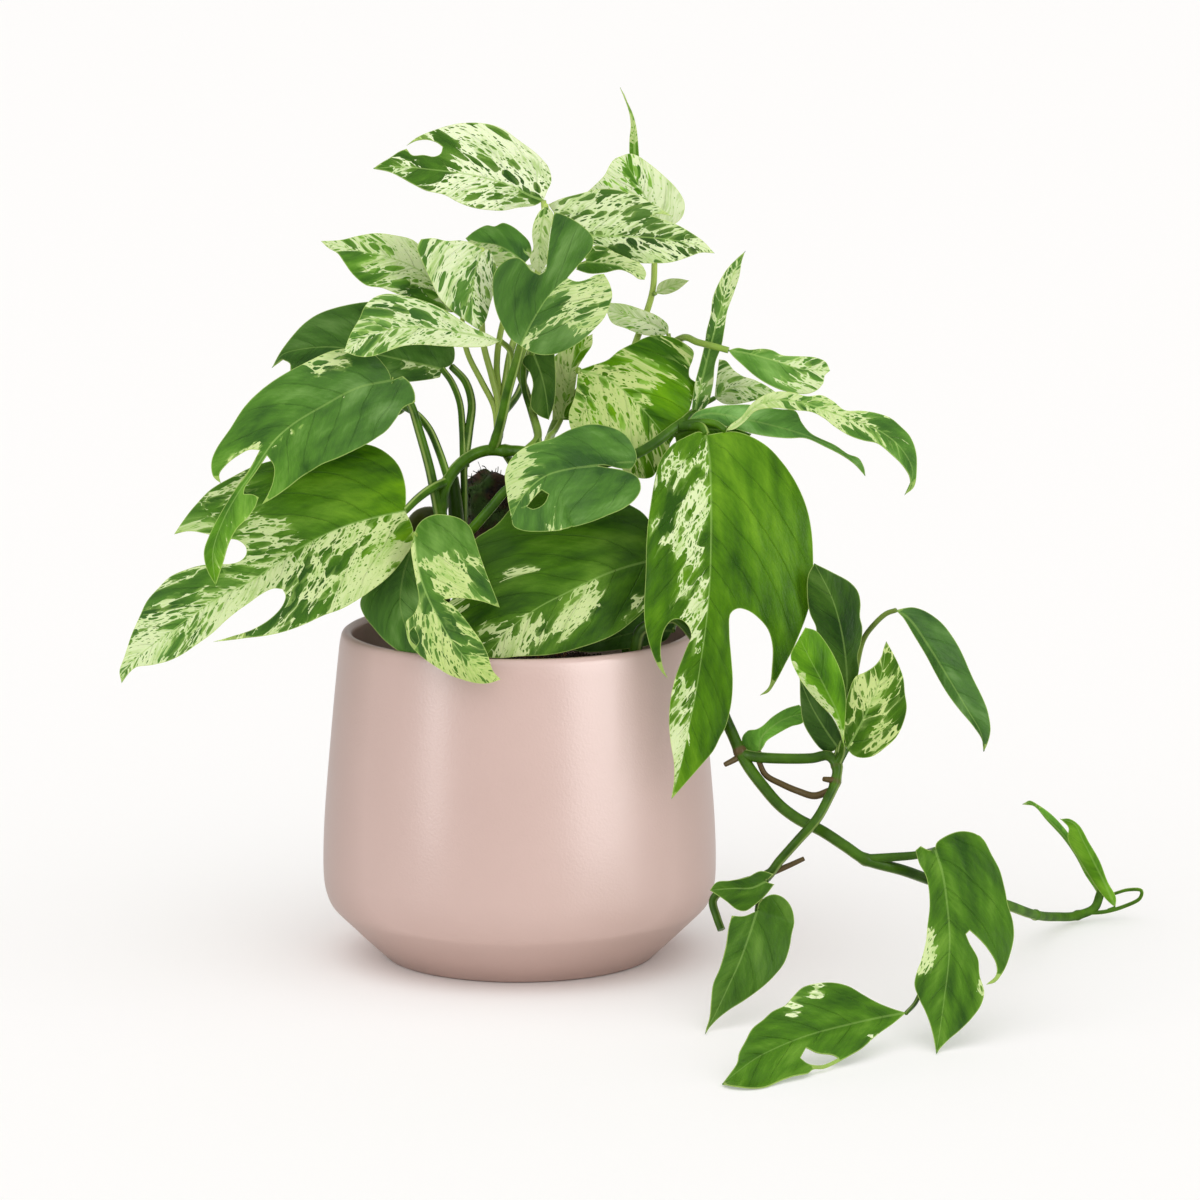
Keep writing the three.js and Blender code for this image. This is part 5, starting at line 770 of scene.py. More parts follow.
# Joins the two filled halves at the midrib; side is one on the first half and minus one on the second.
def joinHalves(flatRib, halves, grid):
    points = [tuple(p) for p in flatRib]
    side = [0.0] * len(points)
    faces, margins = [], []
    for sign, (margin, holes) in zip((1.0, -1.0), halves):
        found, tris, origin, border = fillHalf(flatRib, margin, holes, grid)
        margins.append(border[len(flatRib):])
        ids = []
        for point, source in zip(found, origin):
            if 0 <= source < len(flatRib):
                ids.append(source)
            else:
                ids.append(len(points))
                points.append(tuple(point))
                side.append(sign)
        faces += [tuple(ids[i] for i in tri) for tri in tris]
    flat, side, faces = np.array(points), np.array(side), np.array(faces)
    used = np.unique(faces)
    renumbered = -np.ones(len(flat), int)
    renumbered[used] = np.arange(len(used))
    return flat[used], side[used], renumbered[faces], margins


# How far along the midrib and out from it each point is. Behind the joint and beyond the tip the way
# along goes straight on, so that the veins fan out there.
def ribPlace(flatRib, flat, length):
    along, gap, _ = nearestOn(flatRib, flat)
    across = gap
    for end, inner, start, sign in ((0, 4, 0, -1), (-1, -5, length, 1)):
        out = flatRib[end] - flatRib[max(min(inner, len(flatRib) - 1), -len(flatRib))]
        out = out / np.linalg.norm(out)
        beyond = (flat - flatRib[end]) @ out
        fan = (np.abs(along - start) < 1e-6) & (beyond > 0)
        along = np.where(fan, start + sign * beyond, along)
        across = np.where(fan, np.sqrt(np.maximum(gap ** 2 - beyond ** 2, 0)), across)
    return along, across


def sheetNormals(place, faces):
    a, b, c = (place[faces[:, k]] for k in range(3))
    facing = np.cross(b - a, c - a)
    normals = np.zeros_like(place)
    for k in range(3):
        np.add.at(normals, faces[:, k], facing)
    return normals / (np.linalg.norm(normals, axis=1)[:, None] + 1e-15)


# Builds one blade from its flat halves; toSpace carries flat points to their place in space.
def buildBlade(node, rib, halves, toSpace, look, grid):
    flatRib = rib[:, :2]
    flat, side, faces, margins = joinHalves(flatRib, halves, grid)
    length = np.linalg.norm(np.diff(flatRib, axis=0), axis=1).sum()
    along, across = ribPlace(flatRib, flat, length)
    way = along / length
    rim = np.min([gapTo(flat, margin) for margin in margins], axis=0)
    # where each point lies by its side vein: how far up the leaf the vein is, and how far out along it
    slant = np.interp(way, (0, 1), look['veinSlant'])
    stretch = math.hypot(1, sum(look['veinSlant']) / 2)
    veinWay = (along - slant * across - look['veinArch'] * across ** 2) / stretch

    # sheet relief: a groove at the midrib, quilting between the side veins and a waved rim
    place = toSpace(flat, side)
    quilt = look['quilt'] * (np.abs(np.sin(np.pi * veinWay / look['veinGap'])) ** look['quiltPower'] - 0.5)
    quilt = quilt * (np.clip(across / look['ribFade'], 0, 1) * np.clip(rim / look['rimFade'], 0, 1))
    groove = -look['groove'] * np.exp(-(across / look['grooveWidth']) ** 2)
    groove = groove * np.clip(along / look['ribFade'], 0, 1)
    wave = look['wave'] * np.sin(along / look['waveLength'] * 6.28 + look['waveShift'] * side + look['seed'])
    wave = wave * np.exp(-rim / look['waveReach']) * np.clip(across / look['waveFade'], 0, 1)
    place = place + sheetNormals(place, faces) * ((quilt + groove + wave) / 1000)[:, None]
    thick = look['thinRim'] + (1 - look['thinRim']) * np.clip(rim / look['rimWidth'], 0, 1)
    out = sheetNormals(place, faces) * (look['thickness'] / 2000 * thick)[:, None]
    both = np.vstack([place + out, place - out])
    both[:, 2] += max(0, look['clearance'] / 1000 - both[:, 2].min())

    # the upper face, the under face and the rim between them
    n = len(place)
    directed = dict.fromkeys(edge for a, b, c in faces for edge in ((a, b), (b, c), (c, a)))
    rimEdges = [(a, b) for a, b in directed if (b, a) not in directed]
    allFaces = [tuple(f) for f in faces] + [(c + n, b + n, a + n) for a, b, c in faces]
    allFaces += [(a, a + n, b + n, b) for a, b in rimEdges]
    obj = newObject(node + '_blade', both, allFaces, leafMaterial)
    mesh = obj.data
    sharp = mesh.attributes.new('sharp_edge', 'BOOLEAN', 'EDGE')
    rimKeys = {tuple(sorted((a + k, b + k))) for a, b in rimEdges for k in (0, n)}
    sharp.data.foreach_set('value', [tuple(sorted(e.vertices)) in rimKeys for e in mesh.edges])

    fresh, warm, bright, white = (np.interp(way, (0, 1), np.broadcast_to(look[key], 2))
                                  for key in ('fresh', 'warm', 'bright', 'white'))
    seed = look['seed']
    flow = np.stack([veinWay + look['patternShift'] * seed, side * across * stretch, np.full(n, seed)], 1)
    for name, values in (('veinFlow', flow), ('leafPlace', np.stack([way, side * across, rim], 1)),
                         ('creamHalves', creamShares(flat, way, look)),
                         ('leafTone', np.stack([fresh, warm, bright], 1)), ('creamWhite', white)):
        setAttribute(mesh, name, np.concatenate([values, values]))
    # the flat blade, at a decimetre to the side of the UV square
    laid = np.stack([along, side * across], 1) / 100 + 0.5
    corners = np.zeros(len(mesh.loops), int)
    mesh.loops.foreach_get('vertex_index', corners)
    uvs = np.concatenate([laid, laid])[corners].astype(np.float32)
    mesh.uv_layers.new(name='bladeUV').data.foreach_set('uv', uvs.ravel())
    finishPiece(obj, node)


# How much of each half is cream here, and what the patches add: nought is plain green, one all cream.
def creamShares(flat, fraction, look):
    way = np.clip(fraction, 0, 1)
    shares = [atJoint + (atTip - atJoint) * way for atJoint, atTip in look['cream']]
    extra = np.zeros(len(flat))
    for right, up, radius, amount in look['patches']:
        extra += amount * np.exp(-(np.hypot(flat[:, 0] - right, flat[:, 1] - up) / radius) ** 2)
    return np.stack(shares + [extra], 1)


# A leaf that the photo shows: each half runs behind the midrib by its own tilt and curl.
def buildSeenLeaf(node, leaf, look):
    corners = [p[:2] for p in leaf['rib']] + [p for half in leaf['halves'] for p in half['margin']]
    reach = np.ptp(np.array(corners), axis=0).max()
    grid = look['grid'] * min(1, max(0.5, reach / look['smallLeaf']))
    step = grid * look['outlineStep']
    rib = smoothRun(leaf['rib'], step)
    joint, tip = leaf['rib'][0][:2], leaf['rib'][-1][:2]
    halves = [(cutRun([joint] + half['margin'] + [tip], step),
               [cutRun(hole + hole[:1], step)[:-1] for hole in half.get('holes', [])])
              for half in leaf['halves']]

    def toSpace(flat, side):
        _, gap, deep = nearestOn(rib[:, :2], flat, rib[:, 2])
        tilt, curl = (np.where(side >= 0, *pair) for pair in zip(*(half['form'] for half in leaf['halves'])))
        return seen(flat[:, 0], flat[:, 1], deep + tilt * gap + curl * gap ** 2)

    buildBlade(node, rib, halves, toSpace, look, grid)


# A leaf of the far side: a plain heart that droops, cups and rolls about its midrib.
def buildFarLeaf(node, leaf, look):
    start, end = (seen(*leaf[key]) for key in ('joint', 'tip'))
    along = end - start
    length = np.linalg.norm(along)
    across = np.cross(along, (0, 0, 1))
    across = across / np.linalg.norm(across)
    across = across * math.cos(leaf['roll']) + np.cross(along / length, across) * math.sin(leaf['roll'])
    lift = np.cross(across, along)
    lift = lift / np.linalg.norm(lift)
    long, wide = length * 1000, leaf['width'] / 2
    rib = np.array([(t * long, 0) for t in np.linspace(0, 1, farShape['ribSteps'])])
    halves = []
    for sign in (1, -1):
        corners = [(0, 0)] + [(t * long, w * wide * sign) for t, w in farShape['heartHalf']] + [(long, 0)]
        halves.append((cutRun(corners, look['grid'] * look['outlineStep']), []))

    def toSpace(flat, side):
        t, w = flat[:, 0:1] / long, flat[:, 1:2] / wide
        droop = length * farShape['droop'] * 4 * t * (1 - t)
        cup = farShape['cup'] * np.abs(w) * leaf['width'] / 1000
        return start + along * t + across * w * wide / 1000 + lift * (droop + cup)

    buildBlade(node, rib, halves, toSpace, look, look['grid'])


# each leaf's number gives its marbling its own place in the patterns
for build, group, first in ((buildSeenLeaf, leaves, 0), (buildFarLeaf, farLeaves, farShape['firstSeed'])):
    for number, (node, leaf) in enumerate(group.items(), first):
        build(node, leaf, {**plainLeaf, **leafSheet, **leaf, 'seed': leafSheet['seedStep'] * number})
print('leaves made:', len(leaves) + len(farLeaves))

# Pothos stem: smooth fleshy tissue, faintly shiny, with a painted highlight, a pale line along one side,
# painted shade where it is darkened, and browner at the leaf scars and on aerial roots. The young end of
# the vine, from youngFrom to youngTo metres right, is duller.
stemPaint = {'green': '#294a04', 'freshGreen': '#48710f', 'paleGreen': '#9ab152', 'paintedHighlight': '#9db263',
             'shade': '#1c2f08', 'scarBrown': '#4c3f22', 'roughness': 0.32, 'youngRoughness': 0.62,
             'youngFrom': 0.17, 'youngTo': 0.2, 'gloss': 0.17}


def makeStemMaterial(paint):
    material, add, tint = newMaterial('pothosStem', paint)
    tone = add('Attribute', attribute_name='stemTone')['Vector']
    pale, brown, deep = add('SeparateXYZ', {0: tone})
    around = add('Attribute', attribute_name='stemSide')['Fac']
    where = add('TexCoord')['Object']
    cloud, fine = (add('TexNoise', {'Vector': where, 'Scale': scale, 'Detail': detail})['Fac']
                   for scale, detail in ((90.0, 3.0), (700.0, 2.0)))
    freshShare = add('MapRange', {0: cloud, 1: 0.35, 2: 0.65})[0]
    # painted highlight: a pale line painted along every stem, a fifth of the way round it
    offHighlight = add('Math', {0: around, 1: 0.2}, operation='SUBTRACT')[0]
    offHighlight = add('Math', {0: offHighlight}, operation='ABSOLUTE')[0]
    highlightShare = add('MapRange', {0: offHighlight, 1: 0.015, 2: 0.07, 3: 0.72, 4: 0.0})[0]
    scarShare = add('Math', {0: cloud, 1: 0.4, 2: brown}, operation='MULTIPLY_ADD')[0]
    scarShare = add('MapRange', {0: scarShare, 1: 0.45, 2: 0.8})[0]
    colour = tint['green']
    # over the green: random fresher clouds, pale by stem, the painted highlight, painted shade where deep
    # says, and brown scars
    for amount, laid in ((freshShare, 'freshGreen'), (pale, 'paleGreen'), (highlightShare, 'paintedHighlight'),
                         (deep, 'shade'), (scarShare, 'scarBrown')):
        colour = add('Mix', {0: amount, 6: colour, 7: tint[laid]}, data_type='RGBA')[2]
    bump = add('Bump', {'Height': fine, 'Distance': 0.0004, 'Strength': 0.35})[0]
    right = add('SeparateXYZ', {0: where})[0]
    rough = add('MapRange', {0: right, 1: paint['youngFrom'], 2: paint['youngTo'], 3: paint['roughness'],
                             4: paint['youngRoughness']})[0]
    shader = add('BsdfPrincipled', {
        'Base Color': colour, 'Roughness': rough, 'IOR': 1.45, 'Specular IOR Level': paint['gloss'],
        'Normal': bump, 'Subsurface Weight': 0.06, 'Subsurface Radius': (0.6, 1.0, 0.3),
        'Subsurface Scale': 0.002})[0]
    add('OutputMaterial', {'Surface': shader})
    return material


# Stems run from the leaf's joint to where each grows from, and foot is where one stands in the soil, with
# the two heights of its end there in footHeights. They pale from paleAbove upwards. A stem's own deep
# value is how much painted shade darkens it; the vine has vineShade of it, which fades out before shadeEnd
# on the right. All in millimetres. A scar is [right, up, deep, how brown].
stemMaterial = makeStemMaterial(stemPaint)
stemShape = {'sides': 14, 'step': 1.2, 'leafEnd': 0.8, 'rootEnd': 1.1, 'taperPower': 0.8, 'nodeSwell': 0.22,
             'nodeWidth': 1.6, 'scarWidth': 2.0, 'footHeights': (122, 99), 'paleAbove': 255, 'paleReach': 60,
             'paleMost': 0.8, 'shadeEnd': 215, 'shadeReach': 25, 'vineShade': 0.4}
crownStems = [
    {'radius': 2.6, 'foot': [-31, -22], 'path': [[71, 232, -24], [66, 228.5, -27], [58, 222.5, -31],
      [50, 218, -33], [35, 214, -31], [18, 214.5, -25], [2, 219, -19], [-6, 219.4, -15], [-14, 219.5, -14],
      [-21, 217, -17], [-27, 212, -20], [-31.5, 205, -23], [-33.5, 196, -24], [-33, 184, -24]]},
    {'radius': 1.9, 'path': [[-49, 193.5, -44], [-44, 198.5, -38], [-38, 203, -31], [-31.5, 206, -23]]},
    {'radius': 1.7, 'pale': 0.5, 'path': [[-45, 183, -57], [-41, 185, -49], [-37, 185.6, -38],
      [-33.4, 185, -25]]},
    {'radius': 1.7, 'path': [[-46.5, 177, -44], [-42, 179, -34], [-33, 181, -24]]},
    {'radius': 2, 'path': [[-55, 249.6, -32], [-50.4, 245, -25], [-46.5, 239, -23], [-43, 228, -23],
      [-38.5, 212, -25], [-36, 200, -26], [-34, 190, -25]]},
    {'radius': 1.6, 'path': [[-62, 236, 24], [-56, 239, 8], [-50, 238.4, -5], [-44, 235, -10],
      [-38.6, 228.6, -14], [-34, 218, -18], [-30.6, 207.6, -22]]},
    {'radius': 1.7, 'foot': [-22, -12], 'path': [[-33, 254.5, 4], [-29, 249, 1], [-25.5, 240, -3],
      [-24.4, 229, -7], [-24, 216, -15], [-23.6, 205, -14], [-23.6, 188, -13]]},
    {'radius': 1.9, 'path': [[-29, 255.6, 8], [-23, 249, 3], [-20.4, 240, -1], [-21.6, 228, -8],
      [-23.8, 213, -15]]},
    {'radius': 1.5, 'pale': 0.25, 'path': [[-8, 266.6, -24], [-4, 262.6, -20], [-3.4, 255, -17],
      [-5.4, 245, -15], [-7, 235, -14], [-9.4, 222, -14]]},
    {'radius': 2.1, 'path': [[0.6, 264.6, -30], [-1.4, 257, -26], [-4.8, 245, -22], [-7, 235, -19],
      [-9.4, 226, -16], [-11.6, 219.6, -14]]},
    {'radius': 1.3, 'pale': 0.8, 'path': [[-24, 279, -9], [-24.4, 272, -4], [-22, 261, -2], [-16, 249, -6],
      [-10.6, 238, -9], [-9.2, 226, -13]]},
    {'radius': 1.4, 'pale': 0.7, 'path': [[-16, 306, -16], [-15.6, 300, -9], [-16, 285, -5],
      [-15.4, 266, -4], [-11.6, 251, -7], [-8.6, 238, -11], [-9.4, 226, -13]]},
    {'radius': 1.4, 'pale': 0.6, 'path': [[2.5, 300, 5], [-2, 290, 5], [-8, 270, 3], [-9.6, 255, -2],
      [-8.2, 240, -8], [-9.4, 227, -13]]},
    {'radius': 1.5, 'pale': 0.5, 'path': [[10.5, 327, 0], [11, 318, 1], [9, 300, 3], [2.4, 280, 3],
      [-3.6, 262, 1], [-6, 248, -5], [-8, 236, -11]]},
    {'radius': 1.2, 'pale': 0.5, 'path': [[11.5, 325, -11], [12.4, 321, -5], [11, 316.6, 1]]},
    {'radius': 1, 'path': [[29, 300.5, -16], [26.4, 299.4, -12], [23, 299.4, -6], [19.6, 299.6, -1]]},
    {'radius': 1.6, 'pale': 0.3, 'path': [[24, 313, -5], [20, 301, -1], [12, 285, 2], [4, 268, 2],
      [0, 255, -2], [3, 245, -6], [6, 235, -10], [8, 225, -15], [3, 219.4, -19]]},
    {'radius': 1.5, 'pale': 0.6, 'path': [[60, 318, 20], [58.4, 303, 16], [57.4, 288, 13], [51.6, 270, 11],
      [46, 256, 8], [36, 240, 4], [24, 228, -8], [15, 215.6, -25]]},
    {'radius': 1.2, 'pale': 0.6, 'path': [[49.6, 345, 27], [52, 334, 28], [57, 322, 25], [58.6, 308, 18]]},
    {'radius': 1.2, 'pale': 0.4, 'path': [[64.2, 269.6, 8], [65, 262, 5], [58, 250, 3], [48, 238, 3],
      [36, 239.4, 4]]},
    {'radius': 1, 'path': [[58.8, 287, 10], [57.4, 286.6, 13]]},
    {'radius': 1.8, 'pale': 0.3, 'path': [[25.5, 254, -10], [27, 252, -4], [27.4, 248, 4], [24, 243, 8],
      [18.4, 237, 8], [15, 230, 3], [11.6, 219, -17]]},
    {'radius': 1.3, 'pale': 0.5, 'path': [[18, 232.6, 2], [15.4, 228, -5], [12.8, 225.4, -12],
      [12, 223, -18]]},
    {'radius': 1.5, 'path': [[6, 261.6, -15], [2.4, 257, -9], [2.2, 247, -8], [5, 237, -9], [8, 226, -14],
      [8, 217.4, -22]]},
    {'radius': 2.1, 'path': [[33, 213, -50], [30, 211.6, -42], [22, 207, -37], [10, 206, -37],
      [-4, 203.4, -38], [-12, 195, -38], [-20, 186, -37], [-28, 179, -31], [-33, 176, -23.6]]},
    {'radius': 2.2, 'path': [[80.5, 226, -36], [78.4, 229.4, -31], [74, 230, -27], [69, 230, -26]]},
    {'radius': 1.4, 'path': [[75.6, 236, -15], [73, 234.6, -19], [69, 230.6, -25]]},
    {'radius': 1.3, 'path': [[84, 242, -4], [78, 238.6, -8], [72, 234, -17], [67.6, 229.4, -25]]},
    {'radius': 1.7, 'pale': 0.3, 'path': [[90, 262.6, -26], [84, 264.2, -24], [77, 266, -17],
      [70.6, 268, -5], [63, 262, 5], [52, 240, 1], [43, 228, -10], [36, 215, -29]]},
    {'radius': 1.6, 'path': [[89, 228, -37], [84.6, 231, -33], [77, 231.6, -28], [69, 230.4, -26]]},
    {'radius': 1.2, 'path': [[67, 226, -24], [66, 227.6, -26]]},
    {'radius': 1.6, 'path': [[-68, 192, 10], [-56, 188, 2], [-43, 186, -11], [-34, 184, -22]]},
    {'radius': 1.6, 'path': [[2, 200, 50], [4, 202, 34], [0, 209, 8], [-6.4, 219, -14.6]]},
    {'radius': 1.5, 'path': [[2, 285, 30], [4, 262, 22], [0, 245, 6], [-7.4, 234.6, -11]]},
    {'radius': 3.4, 'deep': 0.75, 'path': [[-28.8, 208, -16], [-27.8, 200, -16], [-27, 190, -16],
      [-26.8, 176, -16]]},
    {'radius': 4.4, 'brown': 0.42, 'deep': 0.6, 'path': [[-48, 179, -10], [-45.6, 186, -11],
      [-42, 190.4, -12], [-37.4, 191, -12], [-33, 187, -13], [-30, 178, -14]]},
    {'radius': 3.8, 'brown': 0.42, 'deep': 0.6, 'path': [[-40, 191, -8], [-40, 180, -8], [-39, 168, -10]]},
]
crownScars = [[-9.4, 226, -14, 0.5], [-6, 219.4, -15, 0.3], [-33.5, 196, -24, 0.3], [18, 214.5, -25, 0.3],
              [-23.8, 213, -15, 0.25]]
rightStems = [
    {'radius': 2, 'foot': [46, -18], 'path': [[56, 172, -45], [57.4, 174, -38], [54, 172, -30],
      [48, 160, -22]]},
    {'radius': 1.5, 'path': [[66, 142, -20], [66, 147, -13], [58, 149, -12], [48, 148, -19]]},
    {'radius': 1.6, 'path': [[38, 176, 30], [38, 170, 18], [44, 158, -4], [48, 150, -18]]},
    {'radius': 1.7, 'path': [[74, 196, 10], [70, 184, 4], [58, 166, -6], [48, 155, -19]]},
]
vineStems = [
    {'radius': 2.4, 'foot': [50, -47], 'path': [[251, 33, 61.4], [249.6, 28, 61], [247.4, 22.8, 58],
      [240, 19.6, 54], [231, 19, 38], [222, 19.8, 8], [210, 24, -32], [194, 29.4, -66], [178, 34.4, -88],
      [165, 39, -98], [149, 43.6, -101], [140, 49.5, -98], [130, 56, -93], [120, 61, -88], [112, 67, -84],
      [105, 75, -80], [99, 83, -76], [95, 90, -73], [92, 97, -70], [88, 106, -67], [83, 122, -63],
      [76, 138.6, -57], [67, 147.6, -53], [58, 145, -49.6], [52, 141.4, -47.6]]},
    {'radius': 2.1, 'path': [[87, 13.4, -95], [85, 19, -92], [83.4, 26, -89], [88, 31, -90], [97, 34, -93],
      [107, 37, -97], [112, 43, -99], [120, 52, -101], [128, 61, -99], [133, 70, -93], [136, 77, -89],
      [136.6, 84, -86], [133, 88.2, -84], [126, 87.2, -83], [115, 87, -81], [103, 87.6, -77],
      [95, 89, -73]]},
    {'radius': 1.6, 'path': [[139.5, 93, -90], [138.8, 89, -87], [136.4, 84, -86]]},
    {'radius': 1.4, 'path': [[137.4, 91.4, -82], [136.6, 88.6, -84], [135.6, 85.6, -86]]},
    {'radius': 1.4, 'path': [[141, 91, -85], [139.4, 88.4, -86], [136.8, 84, -86]]},
    {'radius': 1.4, 'path': [[140.2, 108, -78], [139.6, 98, -80], [137.4, 88, -84]]},
    {'radius': 1.3, 'pale': 0.55, 'path': [[162, 150.8, -72], [158, 149.4, -69], [153, 145, -65],
      [148, 138, -60], [145, 126, -59], [142.6, 110, -64], [140, 97, -76], [138, 90, -83]]},
    {'radius': 1.2, 'brown': 0.8, 'path': [[103.4, 89.6, -70], [103, 87.8, -76]]},
    {'radius': 1.45, 'brown': 0.62, 'path': [[103, 86, -77], [106, 80, -77], [113, 76, -79], [120, 73, -82],
      [127, 71, -87], [133.4, 73, -91]]},
    {'radius': 1.3, 'brown': 0.9, 'path': [[88.5, 84.4, -77], [92, 86.2, -75], [95, 88, -73]]},
    {'radius': 1.2, 'brown': 0.7, 'path': [[122.5, 44, -93], [116, 41, -95], [109, 38, -97]]},
    {'radius': 1.3, 'brown': 0.7, 'path': [[131, 78.2, -92], [135.6, 77.6, -89]]},
    {'radius': 1.8, 'path': [[179, 47.6, -114], [176, 46.6, -106], [170, 45.4, -103], [160, 44.6, -102],
      [149, 43.8, -101]]},
    {'radius': 1.4, 'path': [[106, 34, -102], [107, 36, -97]]},
    {'radius': 1.4, 'path': [[102.4, 21.6, -104], [103.4, 27, -97], [104, 34.6, -95]]},
    {'radius': 1.1, 'path': [[166.4, -22.5, -160], [171, -17, -149], [177, 0, -133], [180, 18, -116],
      [177, 33.4, -91]]},
    {'radius': 0.9, 'path': [[255, 28.6, 62], [262, 30.6, 61], [267.6, 30.2, 60], [267, 27, 60],
      [260, 23.4, 60], [252, 21.2, 58], [244, 20.6, 56]]},
    {'radius': 0.9, 'path': [[256.4, 23, 59], [253.4, 21.6, 58.4]]},
]
vineScars = [[149, 43.6, -101, 0.3], [95, 90, -73, 0.75], [222, 19.8, 8, 0.25], [240, 19.6, 54, 0.3],
             [136.6, 84, -86, 0.35], [136, 77, -89, 0.4], [107, 37, -97, 0.45], [194, 29.4, -66, 0.2]]


# The stem tree: each line of points becomes a tube as thick as its points say.
def makeTubeTree():
    tree, add, given = newTree('tubeAlongLine', {'Geometry': 'Geometry', 'Sides': 'Int', 'Thickness': 'Float',
                                                 'Material': 'Material'})
    radius = add('GeometryNodeInputNamedAttribute', {0: 'stemRadius'}, data_type='FLOAT')[0]
    thick = add('ShaderNodeMath', {0: radius, 1: given['Thickness']}, operation='MULTIPLY')[0]
    line = add('GeometryNodeMeshToCurve', {0: given['Geometry']})[0]
    ring = add('GeometryNodeCurvePrimitiveCircle', {'Resolution': given['Sides'], 'Radius': 1.0},
               mode='RADIUS')[0]
    # how far round the stem: nought on one side, a half on the other
    around = add('GeometryNodeInputIndex')[0]
    around = add('ShaderNodeMath', {0: around, 1: given['Sides']}, operation='DIVIDE')[0]
    around = add('ShaderNodeMath', {0: around, 1: 0.5}, operation='PINGPONG')[0]
    ring = add('GeometryNodeStoreNamedAttribute', {'Geometry': ring, 'Name': 'stemSide', 'Value': around},
               data_type='FLOAT', domain='POINT')[0]
    tube = add('GeometryNodeCurveToMesh', {'Curve': line, 'Profile Curve': ring, 'Scale': thick,
                                           'Fill Caps': True})[0]
    tube = add('GeometryNodeSetShadeSmooth', {0: tube})[0]
    tube = add('GeometryNodeRealizeInstances', {0: tube})[0]
    tube = add('GeometryNodeSetMaterial', {0: tube, 'Material': given['Material']})[0]
    add('NodeGroupOutput', {0: tube})
    return tree


def buildStems(node, stems, scars=(), shade=0.0):
    shape = stemShape
    points, edges, radii, tones = [], [], [], []
    for stem in stems:
        clearance = view['groundClearance'] + stem['radius']
        placed = np.array([seen(*p, lowest=clearance) for p in stem['path']]) * 1000
        if 'foot' in stem:
            placed = np.vstack([placed, [(*stem['foot'], height) for height in shape['footHeights']]])
        line = smoothRun(placed, shape['step'])
        way = np.concatenate([[0], np.cumsum(np.linalg.norm(np.diff(line, axis=0), axis=1))])
        taper = (shape['rootEnd'] - shape['leafEnd']) * (way / way[-1]) ** shape['taperPower']
        thick = stem['radius'] * (shape['leafEnd'] + taper)
        brown = np.full(len(line), stem.get('brown', 0.0))
        for *scar, scarBrown in scars:
            away = np.linalg.norm(line - seen(*scar) * 1000, axis=1)
            thick = thick * (1 + shape['nodeSwell'] * np.exp(-(away / shape['nodeWidth']) ** 2))
            brown = np.maximum(brown, scarBrown * np.exp(-(away / shape['scarWidth']) ** 2))
        pale = np.clip((line[:, 2] - shape['paleAbove']) / shape['paleReach'], 0, 1) * shape['paleMost']
        pale = np.minimum(1, pale + stem.get('pale', 0.0))
        # painted shade, faded out towards the young end of the vine
        fade = np.clip((shape['shadeEnd'] - line[:, 0]) / shape['shadeReach'], 0, 1)
        edges += [(len(points) + i, len(points) + i + 1) for i in range(len(line) - 1)]
        points += [tuple(p / 1000) for p in line]
        radii += list(thick / 1000)
        tones += list(zip(pale, brown, stem.get('deep', shade) * fade))
    lines = newObject(node + '_lines', points, [], edges=edges)
    setAttribute(lines.data, 'stemRadius', radii)
    setAttribute(lines.data, 'stemTone', tones)
    values = {'Sides': shape['sides'], 'Thickness': 1.0, 'Material': stemMaterial}
    finishPiece(runTree(lines, tubeTree, values, node + '_tubes'), node)


tubeTree = makeTubeTree()
buildStems('crown_stems', crownStems, crownScars)
buildStems('low_right_stems', rightStems)
buildStems('trailing_vine', vineStems, vineScars, stemShape['vineShade'])
print('stems made')

# Pot: cast ceramic with a matte glaze coloured dusty pink. Soft broad sheen, very fine grain, and painted
# shade: darker where it turns away from the eye and towards the foot.
potPaint = {'pink': '#d3b6ad', 'pinkLight': '#d9bcb3', 'edge': '#98786a', 'footShadeShare': 0.2, 'edgeShadeShare': 0.85,
            'glossy': 0.28, 'dull': 0.36}
# The pot's profile in millimetres, [out, up], in runs that meet at its corners.
potShape = {'segments': 160, 'step': 1.6,
            'runs': [[[0, 0], [57, 0]], [[57, 0], [58.6, 0.4], [60, 1.8]],
                     [[60, 1.8], [66.5, 7.8], [72.4, 13.6], [80.2, 21.3], [81.7, 23.1], [83.2, 26.2],
                      [84.5, 31.2], [85, 38], [84.5, 58], [81, 100], [78, 130], [77, 138], [75.9, 141.4],
                      [73.4, 142.4], [71.8, 140.4], [71.9, 137]],
                     [[71.9, 137], [72.8, 130], [76, 100], [79.3, 58], [79.8, 40], [77.6, 28], [68, 17.4],
                      [55, 8]],
                     [[55, 8], [0, 8]]]}


